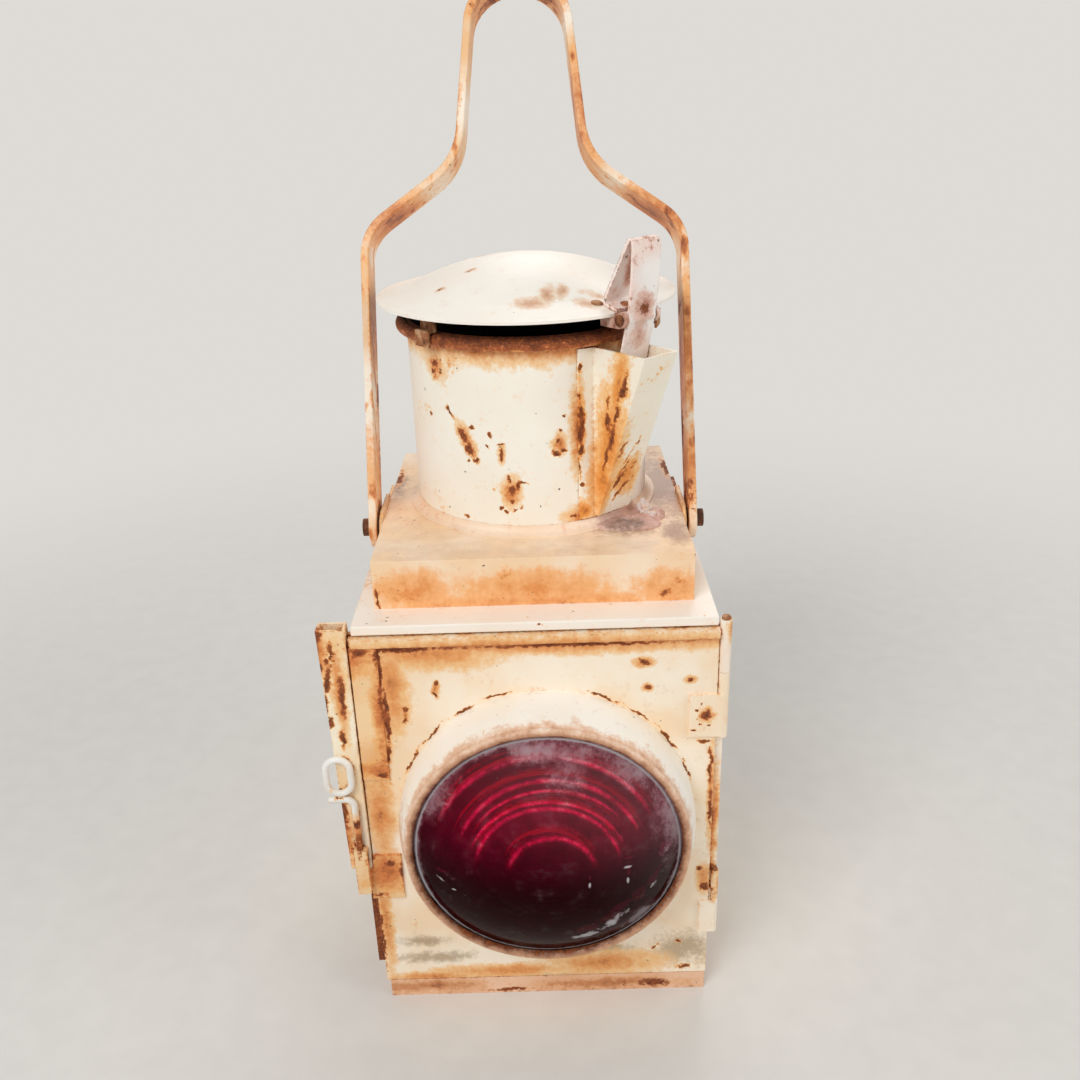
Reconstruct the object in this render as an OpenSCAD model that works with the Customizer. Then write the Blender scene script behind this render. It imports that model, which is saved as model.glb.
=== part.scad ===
// Railway tail lamp: a sheet-steel oil lamp with a ruby lens in its front door.
// Origin at the centre of the underside of the base. +Z is up and the lens looks along -Y.

/* [Case] */
// Width of the lid and of the base, over their lips
case_w = 165; // [150:1:185]
// Depth of the lid and of the base, over their lips
case_d = 169; // [158:1:190]
// Height of the top of the lid above the floor
case_h = 222; // [205:1:245]
// Thickness of the case sheet
sheet = 1.5; // [1.2:0.1:1.8]
// Height of the lip of the base
base_lip_h = 11; // [8:1:14]
// Height of the lip of the lid
lid_lip_h = 4.6; // [3:0.2:7]

/* [Upper box] */
// Width of the square box on the lid
box_w = 147; // [140:1:152]
// Depth of the square box on the lid
box_d = 148; // [140:1:152]
// Height of the box above the lid
box_h = 24; // [20:1:30]
// Distance of the middle of the box behind the middle of the case
box_back = 6.5; // [3:0.5:7]

/* [Chimney] */
// Outer radius of the chimney tube
chimney_r = 58.5; // [55:0.5:61]
// Height of the chimney above the upper box
chimney_h = 94; // [86:1:104]
// Distance of the chimney's axis behind the middle of the case
chimney_back = 17; // [14:0.5:17]
// Thickness of the chimney sheet
thin_sheet = 1.2; // [1:0.1:1.4]
// Radius of the roll round the mouth
bead_r = 3; // [2.4:0.1:3.2]
// Radius of the fillet of the collar at the foot
collar_fillet = 4.5; // [3:0.5:4.5]

/* [Cap] */
// Radius of the cap over its brim
cap_r = 72; // [70:0.5:73]
// Height of the brim's edge above the mouth of the chimney
cap_gap = 9.5; // [8.5:0.5:12]
// Width of the brim, measured inwards
brim_w = 16.3; // [14:0.1:18]
// Rise of the brim from its edge to the dome
brim_rise = 4; // [3:0.5:6]
// Rise of the dome above the brim
dome_rise = 13.2; // [10:0.2:18]

/* [Catch] */
// Direction of the catch round the chimney, seen from above
catch_az = -50; // [-56:1:-44]
// Width of the spring strip of the catch
strip_w = 16.5; // [12:0.5:16.5]
// Thickness of the strip of the catch
strip_t = 1.6; // [1.2:0.1:1.8]
// Width of the wedge pocket, over its cheeks
pocket_w = 20.5; // [19.5:0.5:24]
// Reach of the pocket's mouth beyond the pin of the catch
pocket_over = 14.7; // [12.7:0.1:16.7]

/* [Handle] */
// Clearance between the edge of the cap and the legs
leg_clear = 4.8; // [4.3:0.1:7.5]
// Width of the handle's flat bar
bar_w = 20; // [16:0.5:20]
// Thickness of the handle's flat bar
bar_t = 4; // [3:0.2:4]
// Reach of the handle from its pivot to the top of the bow
handle_reach = 270; // [262:1:290]
// Distance that the pivot lies ahead of the chimney's axis
pivot_ahead = 30; // [27:1:32]
// Radius of the bow that the hand holds
bow_r = 25; // [22:1:30]
// Lean of the handle behind the upright
handle_lean = 24; // [0:1:30]

/* [Front door] */
// Lap of the door beyond the case at its free edge
door_lap = 1.5; // [1:0.1:1.8]
// Lap of the door beyond the case at its hinge
hinge_lap = 0.3; // [0:0.1:0.5]
// Radius of the ruby glass
lens_r = 64.8; // [60:0.2:66]
// Height of the lens's middle above the middle of the door
lens_rise = 1.9; // [-2:0.1:6]
// Distance of the lens's middle to the right of the case's middle
lens_side = 2.8; // [0:0.2:5]
// Distance that the bezel stands out from the door
bezel_proud = 25.5; // [20:0.5:30]
// Distance that the middle of the glass bulges over its edge
glass_bulge = 22; // [16:0.5:24]
// Thickness of the glass between its steps
glass_t = 6; // [4.5:0.5:7]
// Depth of each step on the inner side of the glass
step_h = 3.2; // [2:0.2:4]

/* [Side channel] */
// Length of the narrow channel beside the door
channel_h = 134; // [126:1:140]
// Width of the channel at its top, side to side
channel_w = 13.1; // [12:0.1:15]
// Taper of the channel's outer side over its length
channel_taper = 2.8; // [0:0.1:3]
// Depth of the channel, front to back
channel_d = 8.2; // [8:0.2:11]

/* [Rear socket] */
// Height of the lamp-iron socket
socket_h = 105; // [80:1:130]
// Width of the socket's hollow
socket_wide = 52; // [44:1:60]
// Depth of the socket's hollow, front to back
socket_deep = 13; // [10:0.5:16]

/* [Oil burner] */
// Length of the oil vessel, side to side
vessel_l = 104; // [90:1:112]
// Depth of the oil vessel, front to back
vessel_d = 90; // [80:1:98]
// Height of the oil vessel
vessel_h = 44; // [36:1:50]
// Height of the top of the wick tube above the floor
wick_top = 104; // [98:1:110]
// Width of the flat wick
wick_w = 12; // [10:0.5:14]
// Thickness of the flat wick
wick_t = 1.8; // [1.4:0.1:2.2]
// Radius of the spiked wheels that wind the wick
wheel_r = 2.8; // [2.4:0.1:3.2]

/* [Hidden] */

$fn = 96;
// Clearance between pieces that move past each other, and between pieces that only lie together
run_gap = 0.3;
lie_gap = 0.1;
// Radial play of a pin in its bore
pin_play = 0.08;

// Planes of the case
half_w = case_w / 2;
half_d = case_d / 2;
lid_z = case_h - lid_lip_h;
shell_half_w = half_w - sheet - 0.2;
shell_back = half_d - sheet - 0.2;
shell_top = case_h - sheet;
frame_back = -half_d + 4.3;
frame_front = frame_back - sheet;
flange_out = half_w + 5.5;
flange_low = base_lip_h + 11;
frame_hole_half_w = half_w - 6.5;
box_z = case_h + box_h;
door_hem = 1.5;
door_back = frame_front - run_gap;
door_face = door_back - sheet - door_hem;
door_bottom = base_lip_h + 0.8;
door_top = lid_z - 1;
door_left = -half_w - door_lap;
door_right = half_w + hinge_lap;

// Chimney and cap
mouth_z = box_z + chimney_h;
bead_mid = chimney_r + bead_r - 0.8;
bead_z = mouth_z - bead_r;
brim_z = mouth_z + cap_gap;
dome_foot_r = cap_r - brim_w;
dome_foot_z = brim_z + brim_rise;
dome_r = (dome_foot_r * dome_foot_r + dome_rise * dome_rise) / (2 * dome_rise);
brim_t = thin_sheet * 1.06;
brim_slope = atan2(brim_rise, brim_w);
cap_hinge_az = catch_az + 180;
cap_hinge_r = cap_r - 3.5;
cap_hinge_z = brim_z - 6.5;
knuckle_r = 3;
small_pin_r = 1.5;

// Catch
catch_pin_r_at = cap_r + 4.3;
ear_rivet_r = cap_r - 12.2;
catch_pin_z = brim_z - 2;
fold_z = brim_z + 32;
pocket_foot_z = box_z + 6;
pocket_top_z = mouth_z - 7;
pocket_foot_r = chimney_r + 2.6;
pocket_reach = catch_pin_r_at + pocket_over;

// Handle
pivot_y = chimney_back - pivot_ahead;
pivot_z = box_z - 6;
ear_t = 2;
leg_x = max(cap_r + leg_clear, box_w / 2 + ear_t + 1.3) + bar_t / 2;
leg_rise = 133;
shoulder_r = 24;
shoulder_slope = 36;
neck_r = 34;
neck_slope = 84.5;
bolt_r = 3;
nut_r = 4.9;

// Door hinge
hinge_x = door_right + 3;
hinge_y = door_face + 1.7;
hinge_knuckle_r = 2.7;
hinge_slim_r = 1.9;
hinge_pin_r = 1.1;
hinge_top = lid_z + 3;
upper_split = hinge_top - 27;
upper_strap_low = upper_split - 35;
hinge_low = base_lip_h + 28;
lower_split = hinge_low + 25;
lower_top = lower_split + 14;

// Lens
bezel_foot_r = lens_r + 5.8;
bezel_lip_r = 2;
lens_up = (door_bottom + door_top) / 2 + lens_rise;
// The lip of the bezel rests against the dome close to the edge of the glass
dome_glass_r = (lens_r * lens_r + glass_bulge * glass_bulge) / (2 * glass_bulge);
rim_tilt = asin(lens_r / dome_glass_r);
glass_edge_h = bezel_proud - 0.6 - (bezel_lip_r + 0.2) / cos(rim_tilt) - 0.2 * tan(rim_tilt);
glass_edge_t = 5;
retainer_r = lens_r - 1;

// Ring on the side channel and hook on the door
ring_x = door_left - 5.2;
ring_z = 145;
channel_y = door_face - 2;
ring_y = channel_y - 2.1;
wire_r = 1.6;
link_r = 5.8;
link_straight = 7.6;
hook_x = door_left - 5;
keeper_z = 68;
keeper_h = 27;

// Wick winder
wick_y = chimney_back;
tube_wall = 0.8;
winder_y = wick_y + wick_t / 2 + wheel_r + 0.05;
winder_z = sheet + vessel_h + 20;

// A point on a circle in the plane
function on_circle(centre, r, a) = [centre[0] + r * cos(a), centre[1] + r * sin(a)];
// Points along an arc between two angles
function arc(centre, r, a0, a1, n) = [for (i = [0:n]) on_circle(centre, r, a0 + (a1 - a0) * i / n)];
// A list in the other order
function reversed(list) = [for (i = [len(list) - 1:-1:0]) list[i]];
// Height of the brim's upper face at a radius
function brim_at(r) = brim_z + (cap_r - r) * brim_rise / brim_w;

// Height of the cap's upper face at a radius, over the brim or the dome
function cap_at(r) =
    r >= dome_foot_r ? brim_at(r) : dome_foot_z + dome_rise - dome_r + sqrt(dome_r * dome_r - r * r);

// Moves a shape drawn with x outwards and z up to its direction round the chimney
module round_chimney(az) {
    translate([0, chimney_back, 0]) rotate([0, 0, az]) children();
}

// A plate drawn in the radial plane, centred across its width
module radial_plate(w) {
    rotate([90, 0, 0]) translate([0, 0, -w / 2]) linear_extrude(height = w) children();
}

// A rod along X between two places
module rod_x(x0, x1, r) {
    translate([x0, 0, 0]) rotate([0, 90, 0]) cylinder(h = x1 - x0, r = r);
}

// A rod along Y, centred
module rod_y(l, r) {
    rotate([90, 0, 0]) cylinder(h = l, r = r, center = true);
}

// A box between two corners
module block(a, b) {
    translate(a) cube([b[0] - a[0], b[1] - a[1], b[2] - a[2]]);
}

// A low round-headed rivet that points along +Z and holds a grip below its head
module rivet(r, grip) {
    head_r = 1.9 * r;
    head_h = 0.65 * r;
    ball_r = (head_r * head_r + head_h * head_h) / (2 * head_h);
    translate([0, 0, -grip]) cylinder(h = grip, r = r, $fn = 24);
    difference() {
        translate([0, 0, head_h - ball_r]) sphere(r = ball_r, $fn = 64);
        translate([0, 0, -4 * ball_r]) cube(8 * ball_r, center = true);
    }
}

module base_pan() {
    color("wheat") difference() {
        block([-half_w, -half_d, 0], [half_w, half_d, base_lip_h]);
        block([-half_w + sheet, -half_d + sheet, sheet], [half_w - sheet, half_d - sheet, base_lip_h + 1]);
        air_holes(-1, sheet + 1);
    }
}

// The air holes in the floor, in two rows ahead of and behind the vessel
module air_holes(z0, z1) {
    for (x = [-45:30:45], y = [-1, 1])
        translate([x, y * (half_d - 14), z0]) cylinder(h = z1 - z0, r = 4, $fn = 32);
}

module case_shell() {
    color("ivory") difference() {
        block([-shell_half_w, frame_back, sheet], [shell_half_w, shell_back, shell_top]);
        block(
            [-shell_half_w + sheet, frame_back - 1, 0],
            [shell_half_w - sheet, shell_back - sheet, case_h]
        );
    }
}

// Frame round the doorway: its left flange is broad only below the side channel
module front_frame() {
    color("peru") difference() {
        block([-flange_out, frame_front, base_lip_h + 0.5], [shell_half_w, frame_back, lid_z - 0.3]);
        block([-frame_hole_half_w, frame_front - 1, base_lip_h + 10],
            [frame_hole_half_w, frame_back + 1, lid_z - 12]);
        block([-flange_out - 1, frame_front - 1, case_h - channel_h - 0.4],
            [door_left - 0.5, frame_back + 1, case_h]);
        block([-flange_out - 1, frame_front - 1, 0], [-shell_half_w, frame_back + 1, flange_low]);
    }
}

module lid() {
    hole = box_w / 2 - 9;
    color("ivory") difference() {
        block([-half_w, -half_d, lid_z], [half_w, half_d, case_h]);
        block([-half_w + sheet, -half_d + sheet, lid_z - 1], [half_w - sheet, half_d - sheet, shell_top]);
        block([-hole, box_back - hole, lid_z - 1], [hole, box_back + hole, case_h + 1]);
    }
}

module upper_box() {
    color("sandybrown") difference() {
        translate([0, box_back, 0]) difference() {
            block([-box_w / 2, -box_d / 2, case_h], [box_w / 2, box_d / 2, box_z]);
            block([-box_w / 2 + sheet, -box_d / 2 + sheet, case_h - 1],
                [box_w / 2 - sheet, box_d / 2 - sheet, box_z - sheet]);
        }
        translate([0, chimney_back, case_h]) cylinder(h = box_h + 1, r = chimney_r - thin_sheet);
        for (s = [-1, 1])
            translate([0, pivot_y, pivot_z]) rod_x(s * box_w / 2 - 5, s * box_w / 2 + 5, bolt_r + 0.1);
    }
}

// Tube with its mouth rolled over a wire
module chimney() {
    color("ivory") translate([0, chimney_back, 0]) rotate_extrude() {
        translate([chimney_r - thin_sheet, box_z]) square([thin_sheet, chimney_h]);
        difference() {
            translate([bead_mid, bead_z]) circle(r = bead_r, $fn = 48);
            translate([0, bead_z - 2 * bead_r]) square([chimney_r - 0.2, 4 * bead_r]);
        }
    }
}

module chimney_collar() {
    foot_r = chimney_r + collar_fillet + lie_gap;
    color("tan") translate([0, chimney_back, 0]) rotate_extrude() difference() {
        translate([chimney_r + lie_gap, box_z]) square([collar_fillet, collar_fillet]);
        translate([foot_r + 0.4, box_z + collar_fillet + 0.4]) circle(r = collar_fillet, $fn = 64);
    }
}

// Wedge pocket: two cheeks and a sloping wall, with flanges that lie on the tube
module catch_pocket() {
    flange_w = 7;
    collar_top = box_z + collar_fillet + 0.6;
    color("wheat") round_chimney(catch_az) difference() {
        union() {
            for (s = [-1, 1]) translate([0, s * (pocket_w - thin_sheet) / 2, 0])
                radial_plate(thin_sheet) polygon([
                    [chimney_r - 1, pocket_foot_z], [pocket_foot_r, pocket_foot_z],
                    [pocket_reach, pocket_top_z], [chimney_r - 1, pocket_top_z]
                ]);
            radial_plate(pocket_w) polygon([
                [pocket_foot_r - thin_sheet, pocket_foot_z], [pocket_foot_r, pocket_foot_z],
                [pocket_reach, pocket_top_z], [pocket_reach - 1.3 * thin_sheet, pocket_top_z]
            ]);
            intersection() {
                cylinder(h = bead_z - bead_r - 1, r = chimney_r + lie_gap + thin_sheet);
                for (s = [-1, 1])
                    translate([30, s * (pocket_w + flange_w) / 2 - (flange_w + 1) / 2, collar_top])
                        cube([40, flange_w + 1, bead_z - bead_r - 1 - collar_top]);
            }
        }
        translate([0, 0, case_h]) cylinder(h = 200, r = chimney_r + lie_gap);
        translate([0, 0, bead_z]) rotate_extrude()
            translate([bead_mid, 0]) circle(r = bead_r + 0.2, $fn = 32);
        translate([0, 0, mouth_z - bead_r]) cylinder(h = 20, r = bead_mid + bead_r + 0.2);
    }
}

// Three tabs that lap the roll of the mouth and carry the cap clear of it
module cap_supports() {
    tab_w = 10;
    top_z = cap_at(bead_mid) - thin_sheet * 1.1;
    outer = bead_mid + bead_r + 0.3;
    color("saddlebrown") for (az = [224, 104, -16]) round_chimney(az)
        radial_plate(tab_w) polygon([
            [bead_mid - 0.6, mouth_z + 0.3], [bead_mid - 0.6, top_z - 0.4], [bead_mid + 0.9, top_z - 0.8],
            [bead_mid + 0.9, mouth_z + 1.5], [outer + thin_sheet, mouth_z + 1.5],
            [outer + thin_sheet, bead_z - bead_r], [outer, bead_z - bead_r], [outer, mouth_z + 0.3]
        ]);
}

// Strap on the chimney whose end knuckles carry the cap
module cap_hinge_fixed_leaf() {
    strap_w = 16;
    knuckle_l = 5;
    jog_r = bead_mid + bead_r + 0.4;
    color("saddlebrown") round_chimney(cap_hinge_az) difference() {
        union() {
            radial_plate(strap_w) polygon([
                [chimney_r + 0.25, bead_z - 28], [chimney_r + 0.25 + sheet, bead_z - 28],
                [chimney_r + 0.25 + sheet, bead_z - 9], [jog_r + sheet, bead_z - 3],
                [jog_r + sheet, cap_hinge_z + 1], [jog_r, cap_hinge_z + 1],
                [jog_r, bead_z - 2.4], [chimney_r + 0.25, bead_z - 8.4]
            ]);
            radial_plate(strap_w) polygon([
                [jog_r, cap_hinge_z - knuckle_r], [cap_hinge_r, cap_hinge_z - knuckle_r],
                [cap_hinge_r, cap_hinge_z - knuckle_r + sheet], [jog_r, cap_hinge_z - knuckle_r + sheet]
            ]);
            for (s = [-1, 1]) translate([cap_hinge_r, s * (strap_w - knuckle_l) / 2, cap_hinge_z])
                rod_y(knuckle_l, knuckle_r);
        }
        translate([cap_hinge_r, 0, cap_hinge_z]) rod_y(strap_w + 4, small_pin_r + pin_play);
        translate([cap_hinge_r - 6, knuckle_l - strap_w / 2 - run_gap, cap_hinge_z - knuckle_r - 0.5])
            cube([20, strap_w - 2 * knuckle_l + 2 * run_gap, 20]);
        for (z = [bead_z - 24, bead_z - 13]) translate([chimney_r, 0, z]) rod_x(-3, 6, 1.6);
    }
}

module cap_hinge_pin() {
    color("dimgray") round_chimney(cap_hinge_az) translate([cap_hinge_r, 0, cap_hinge_z]) {
        rod_y(18, small_pin_r);
        for (s = [-1, 1]) translate([0, s * 9, 0]) rod_y(1.4, 2.4);
    }
}

// Narrow box channel, open at both ends, lapped behind the edge of the frame
module side_channel() {
    back_y = channel_y + channel_d;
    top_z = case_h;
    low_z = top_z - channel_h;
    right_x = door_left - 0.6;
    left_x = right_x - channel_w;
    color("wheat") difference() {
        union() {
            translate([0, back_y, 0]) upright_plate(channel_d) polygon([
                [left_x, top_z], [left_x + channel_taper, low_z], [right_x, low_z], [right_x, top_z]
            ]);
            block([right_x - 1, frame_back + 0.1, low_z], [-shell_half_w - 0.2, back_y, lid_z - 0.4]);
        }
        translate([0, frame_back + 0.1, 0]) upright_plate(frame_back + 0.1 - channel_y - thin_sheet) polygon([
            [left_x + thin_sheet - channel_taper / channel_h, top_z + 1],
            [left_x + thin_sheet + channel_taper * (1 + 1 / channel_h), low_z - 1],
            [right_x - thin_sheet, low_z - 1], [right_x - thin_sheet, top_z + 1]
        ]);
        translate([left_x + 3.5, channel_y - 1, top_z + 1]) rotate([0, 14, 0])
            cube([20, thin_sheet + 1.5, 8]);
        translate([ring_x, channel_y, ring_z]) rod_y(8, 1.55 + pin_play);
    }
}

// Pocket folded from one sheet on the back of the case, which drops over a lamp iron
module rear_socket() {
    wall_y = shell_back + lie_gap;
    top_z = lid_z - 22;
    low_z = top_z - socket_h;
    half = socket_wide / 2;
    out_y = wall_y + socket_deep + sheet;
    flange = 13;
    color("ivory") difference() {
        union() {
            block([-half - sheet, wall_y, low_z], [half + sheet, out_y, top_z]);
            block([-half - flange, wall_y, low_z], [half + flange, wall_y + sheet, top_z]);
        }
        block([-half, wall_y - 1, low_z - 1], [half, out_y - sheet, top_z + 1]);
        for (s = [-1, 1], z = [low_z + 12, (low_z + top_z) / 2, top_z - 12])
            translate([s * (half + 7.5), wall_y, z]) rod_y(8, 1.6);
    }
}

// Ears riveted to the sides of the upper box, which carry the handle
module handle_brackets() {
    base_x = box_w / 2;
    top_z = box_z + 3;
    color("peru") for (s = [0, 1]) mirror([s, 0, 0]) difference() {
        union() {
            block([base_x, pivot_y, pivot_z - 13], [base_x + ear_t, pivot_y + 44, top_z - 3.5]);
            block([base_x, pivot_y, pivot_z - 13], [base_x + ear_t, pivot_y + 22, top_z]);
            translate([0, pivot_y, pivot_z - 2]) rod_x(base_x, base_x + ear_t, 11);
        }
        translate([0, pivot_y, pivot_z]) rod_x(base_x - 5, base_x + 10, bolt_r + 0.1);
        for (y = [21, 37]) translate([0, pivot_y + y, pivot_z - 5]) rod_x(base_x - 5, base_x + 10, 1.6);
    }
}

// A plate that stands across the case with its front face at y = -t
module upright_plate(t) {
    rotate([90, 0, 0]) linear_extrude(height = t) children();
}

module handle_bolts() {
    inner = box_w / 2 - sheet - 4;
    outer = leg_x + bar_t / 2 + 0.5;
    color("sienna") for (s = [0, 1]) mirror([s, 0, 0]) translate([0, pivot_y, pivot_z]) {
        rod_x(inner, outer + 0.5, bolt_r);
        rod_x(outer, outer + 3.4, 4.4);
        translate([inner, 0, 0]) rotate([0, 90, 0]) rotate([0, 0, 30]) cylinder(h = 3.9, r = nut_r, $fn = 6);
        translate([box_w / 2 + ear_t, 0, 0]) difference() {
            rod_x(0, leg_x - bar_t / 2 - box_w / 2 - ear_t - 0.3, 5.5);
            rod_x(-1, 10, bolt_r - 0.1);
        }
    }
}

// Flange on the right edge of the frame with the case's knuckles of the two hinges
module case_hinge_leaf() {
    // Each knuckle is [its foot, its top, its radius]
    knuckles = [
        [upper_split + 0.3, hinge_top, hinge_knuckle_r],
        [lower_split + 0.3, lower_top, hinge_slim_r]
    ];
    leaf_x = shell_half_w + lie_gap;
    color("wheat") difference() {
        union() {
            block([leaf_x, frame_back, hinge_low], [leaf_x + sheet, frame_back + 18, lid_z - 0.4]);
            block([leaf_x, frame_front, hinge_low], [hinge_x + 1, frame_back, lid_z - 0.4]);
            for (k = knuckles) translate([hinge_x, hinge_y, k[0]]) cylinder(h = k[1] - k[0], r = k[2]);
        }
        translate([hinge_x, hinge_y, 0]) cylinder(h = case_h + 10, r = hinge_pin_r + pin_play);
        for (span = [[upper_strap_low, upper_split], [hinge_low, lower_split]])
            translate([hinge_x, hinge_y, span[0] - 0.3])
                cylinder(h = span[1] - span[0] + 0.6, r = hinge_knuckle_r + 0.8);
    }
}

// Two pins, each with a low head on its upper end
module door_hinge_pin() {
    // Each pin is [its foot, its top, the radius of its head]
    pins = [[upper_strap_low, hinge_top, 2.2], [hinge_low, lower_top, 1.5]];
    color("dimgray") for (pin = pins) translate([hinge_x, hinge_y, pin[0] - 0.5]) {
        cylinder(h = pin[1] - pin[0] + 1, r = hinge_pin_r);
        translate([0, 0, pin[1] - pin[0] + 0.6]) cylinder(h = 1.2, r1 = pin[2], r2 = pin[2] - 0.4);
    }
}

// Rivets of the pieces that stay fixed to the case and the chimney
module case_rivets() {
    top_z = lid_z - 22;
    low_z = top_z - socket_h;
    color("tan") {
        for (s = [-1, 1], z = [low_z + 12, (low_z + top_z) / 2, top_z - 12])
            translate([s * (socket_wide / 2 + 7.5), shell_back + lie_gap + sheet, z]) rotate([-90, 0, 0])
                rivet(1.5, sheet);
        for (s = [-1, 1], y = [21, 37])
            translate([s * (box_w / 2 + ear_t), pivot_y + y, pivot_z - 5]) rotate([0, s * 90, 0])
                rivet(1.5, ear_t);
        round_chimney(cap_hinge_az) for (z = [bead_z - 24, bead_z - 13])
            translate([chimney_r + 0.25 + sheet, 0, z]) rotate([0, 90, 0]) rivet(1.5, sheet + 0.2);
    }
}

// Two angle rails on the floor that hold the oil vessel from the sides
module vessel_guides() {
    color("silver") for (s = [-1, 1]) {
        inner = s * (vessel_l / 2 + 0.4);
        far = inner + s * 12;
        block([min(inner, far), chimney_back - vessel_d / 2, sheet],
            [max(inner, far), chimney_back + vessel_d / 2, sheet + 1.2]);
        upright = inner + s * 1.2;
        block([min(inner, upright), chimney_back - vessel_d / 2, sheet],
            [max(inner, upright), chimney_back + vessel_d / 2, sheet + 9]);
    }
}

// Sealed tank of tinned plate with two necks
module oil_vessel() {
    wall = 0.8;
    color("silver") translate([0, chimney_back, sheet]) {
        difference() {
            linear_extrude(height = vessel_h) rounded_plan(vessel_l, vessel_d, 10);
            translate([0, 0, wall]) linear_extrude(height = vessel_h - 2 * wall)
                rounded_plan(vessel_l - 2 * wall, vessel_d - 2 * wall, 10 - wall);
        }
        translate([0, 0, vessel_h]) cylinder(h = 3, r = 15);
        translate([-vessel_l / 2 + 18, -vessel_d / 2 + 18, vessel_h]) cylinder(h = 3, r = 9);
    }
}

// A rectangle with round corners
module rounded_plan(w, d, corner) {
    square([w, d - 2 * corner], center = true);
    square([w - 2 * corner, d], center = true);
    for (sx = [-1, 1], sy = [-1, 1])
        translate([sx * (w / 2 - corner), sy * (d / 2 - corner)]) circle(r = corner, $fn = 48);
}

module filler_cap() {
    place = [-vessel_l / 2 + 18, chimney_back - vessel_d / 2 + 18, sheet + vessel_h + 3];
    color("goldenrod") translate(place) {
        cylinder(h = 5, r = 11);
        translate([-8, -1.2, 5]) cube([16, 2.4, 4]);
    }
}

module burner_collar() {
    color("goldenrod") translate([0, chimney_back, sheet + vessel_h + 3]) difference() {
        cylinder(h = 7, r = 18);
        translate([0, 0, 3]) cylinder(h = 5, r = 15.2);
        translate([0, 0, -1]) cylinder(h = 9, r = 11);
    }
}

// Cup with air holes that carries the wick tube and the cone
module burner_gallery() {
    z0 = sheet + vessel_h + 6;
    color("goldenrod") translate([0, chimney_back, 0]) difference() {
        union() {
            translate([0, 0, z0]) cylinder(h = 20, r = 15);
            translate([0, 0, z0 + 20]) cylinder(h = 3, r = 17);
        }
        translate([0, 0, z0 + 2]) cylinder(h = 30, r = 13.6);
        translate([-(wick_w / 2 + tube_wall + 0.1), -(wick_t / 2 + tube_wall + 0.1), z0 - 1])
            cube([wick_w + 2 * tube_wall + 0.2, wick_t + 2 * tube_wall + 0.2, 10]);
        for (a = [15:30:345]) rotate([0, 0, a]) translate([0, 0, z0 + 6]) rod_x(12, 17, 1.5, $fn = 24);
        translate([0, winder_y - chimney_back, winder_z]) rod_x(10, 18, 1.5 + pin_play);
    }
}

module wick_tube() {
    color("goldenrod") difference() {
        block([-wick_w / 2 - tube_wall, wick_y - wick_t / 2 - tube_wall, sheet + vessel_h + 3.5],
            [wick_w / 2 + tube_wall, wick_y + wick_t / 2 + tube_wall, wick_top]);
        block([-wick_w / 2 - 0.15, wick_y - wick_t / 2 - 0.15, 0],
            [wick_w / 2 + 0.15, wick_y + wick_t / 2 + 0.15, 200]);
        block([-wick_w / 2 - 0.15, wick_y, winder_z - wheel_r - 0.8],
            [wick_w / 2 + 0.15, wick_y + 5, winder_z + wheel_r + 0.8]);
    }
}

// Dome with a slot that draws the air to the flame
module burner_cone() {
    z0 = sheet + vessel_h + 29;
    height = wick_top - z0 + 6;
    color("goldenrod") difference() {
        translate([0, chimney_back, z0]) rotate_extrude() {
            difference() {
                intersection() {
                    translate([0, height - 20]) circle(r = 20, $fn = 64);
                    square([16.6, height]);
                }
                intersection() {
                    translate([0, height - 20]) circle(r = 19.2, $fn = 64);
                    square([15.8, height]);
                }
            }
            translate([13, 0]) square([3.6, 0.8]);
        }
        block([-wick_w / 2 - 3, wick_y - 3.5, z0 - 1], [wick_w / 2 + 3, wick_y + 3.5, z0 + height + 1]);
    }
}

module winder_shaft() {
    color("gray") translate([0, winder_y, winder_z]) rod_x(-5, 44, 1.5);
}

// Two spiked wheels that grip the wick through the window of its tube
module winder_wheels() {
    spikes = 12;
    color("gray") for (x = [-4.4, 1.6]) translate([x, winder_y, winder_z]) rotate([0, 90, 0])
        difference() {
            linear_extrude(height = 2) polygon([for (i = [0:2 * spikes - 1])
                on_circle([0, 0], i % 2 == 0 ? wheel_r : wheel_r - 0.6, i * 180 / spikes)]);
            translate([0, 0, -1]) cylinder(h = 4, r = 1.5, $fn = 24);
        }
}

module winder_knob() {
    color("goldenrod") translate([0, winder_y, winder_z]) difference() {
        rod_x(38, 44, 8);
        rod_x(37, 45, 1.5);
        for (a = [0:30:330]) rotate([a, 0, 0]) translate([0, 0, 8.9]) rod_x(37, 45, 1.6, $fn = 24);
    }
}

module wick() {
    color("beige") block([-wick_w / 2, wick_y - wick_t / 2, sheet + vessel_h + 8],
        [wick_w / 2, wick_y + wick_t / 2, wick_top + 2]);
}

// Front sheet with hemmed edges and a rain lip along its top
module door_panel() {
    hem_w = 7;
    color("ivory") difference() {
        union() {
            block([door_left, door_face, door_bottom], [door_right, door_face + sheet, door_top]);
            difference() {
                block([door_left, door_face, door_bottom], [door_right, door_back, door_top]);
                block([door_left + hem_w, door_face - 1, door_bottom + hem_w],
                    [door_right - hem_w, door_back + 1, door_top - hem_w]);
            }
            block([door_left + 1, door_face - 2.4, door_top - 4], [door_right, door_face + 0.5, door_top]);
        }
        lens_axis() translate([0, 0, -5]) cylinder(h = 10, r = lens_r + 0.6);
        lens_axis() for (a = [45:90:315]) rotate([0, 0, a])
            translate([lens_r + 2.6, 0, -5]) cylinder(h = 10, r = 1.2, $fn = 24);
    }
}

// Puts a shape drawn about Z, growing towards the viewer, on the lens's axis with z = 0 at the door's face
module lens_axis() {
    translate([lens_side, door_face, lens_up]) rotate([90, 0, 0]) children();
}

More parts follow.
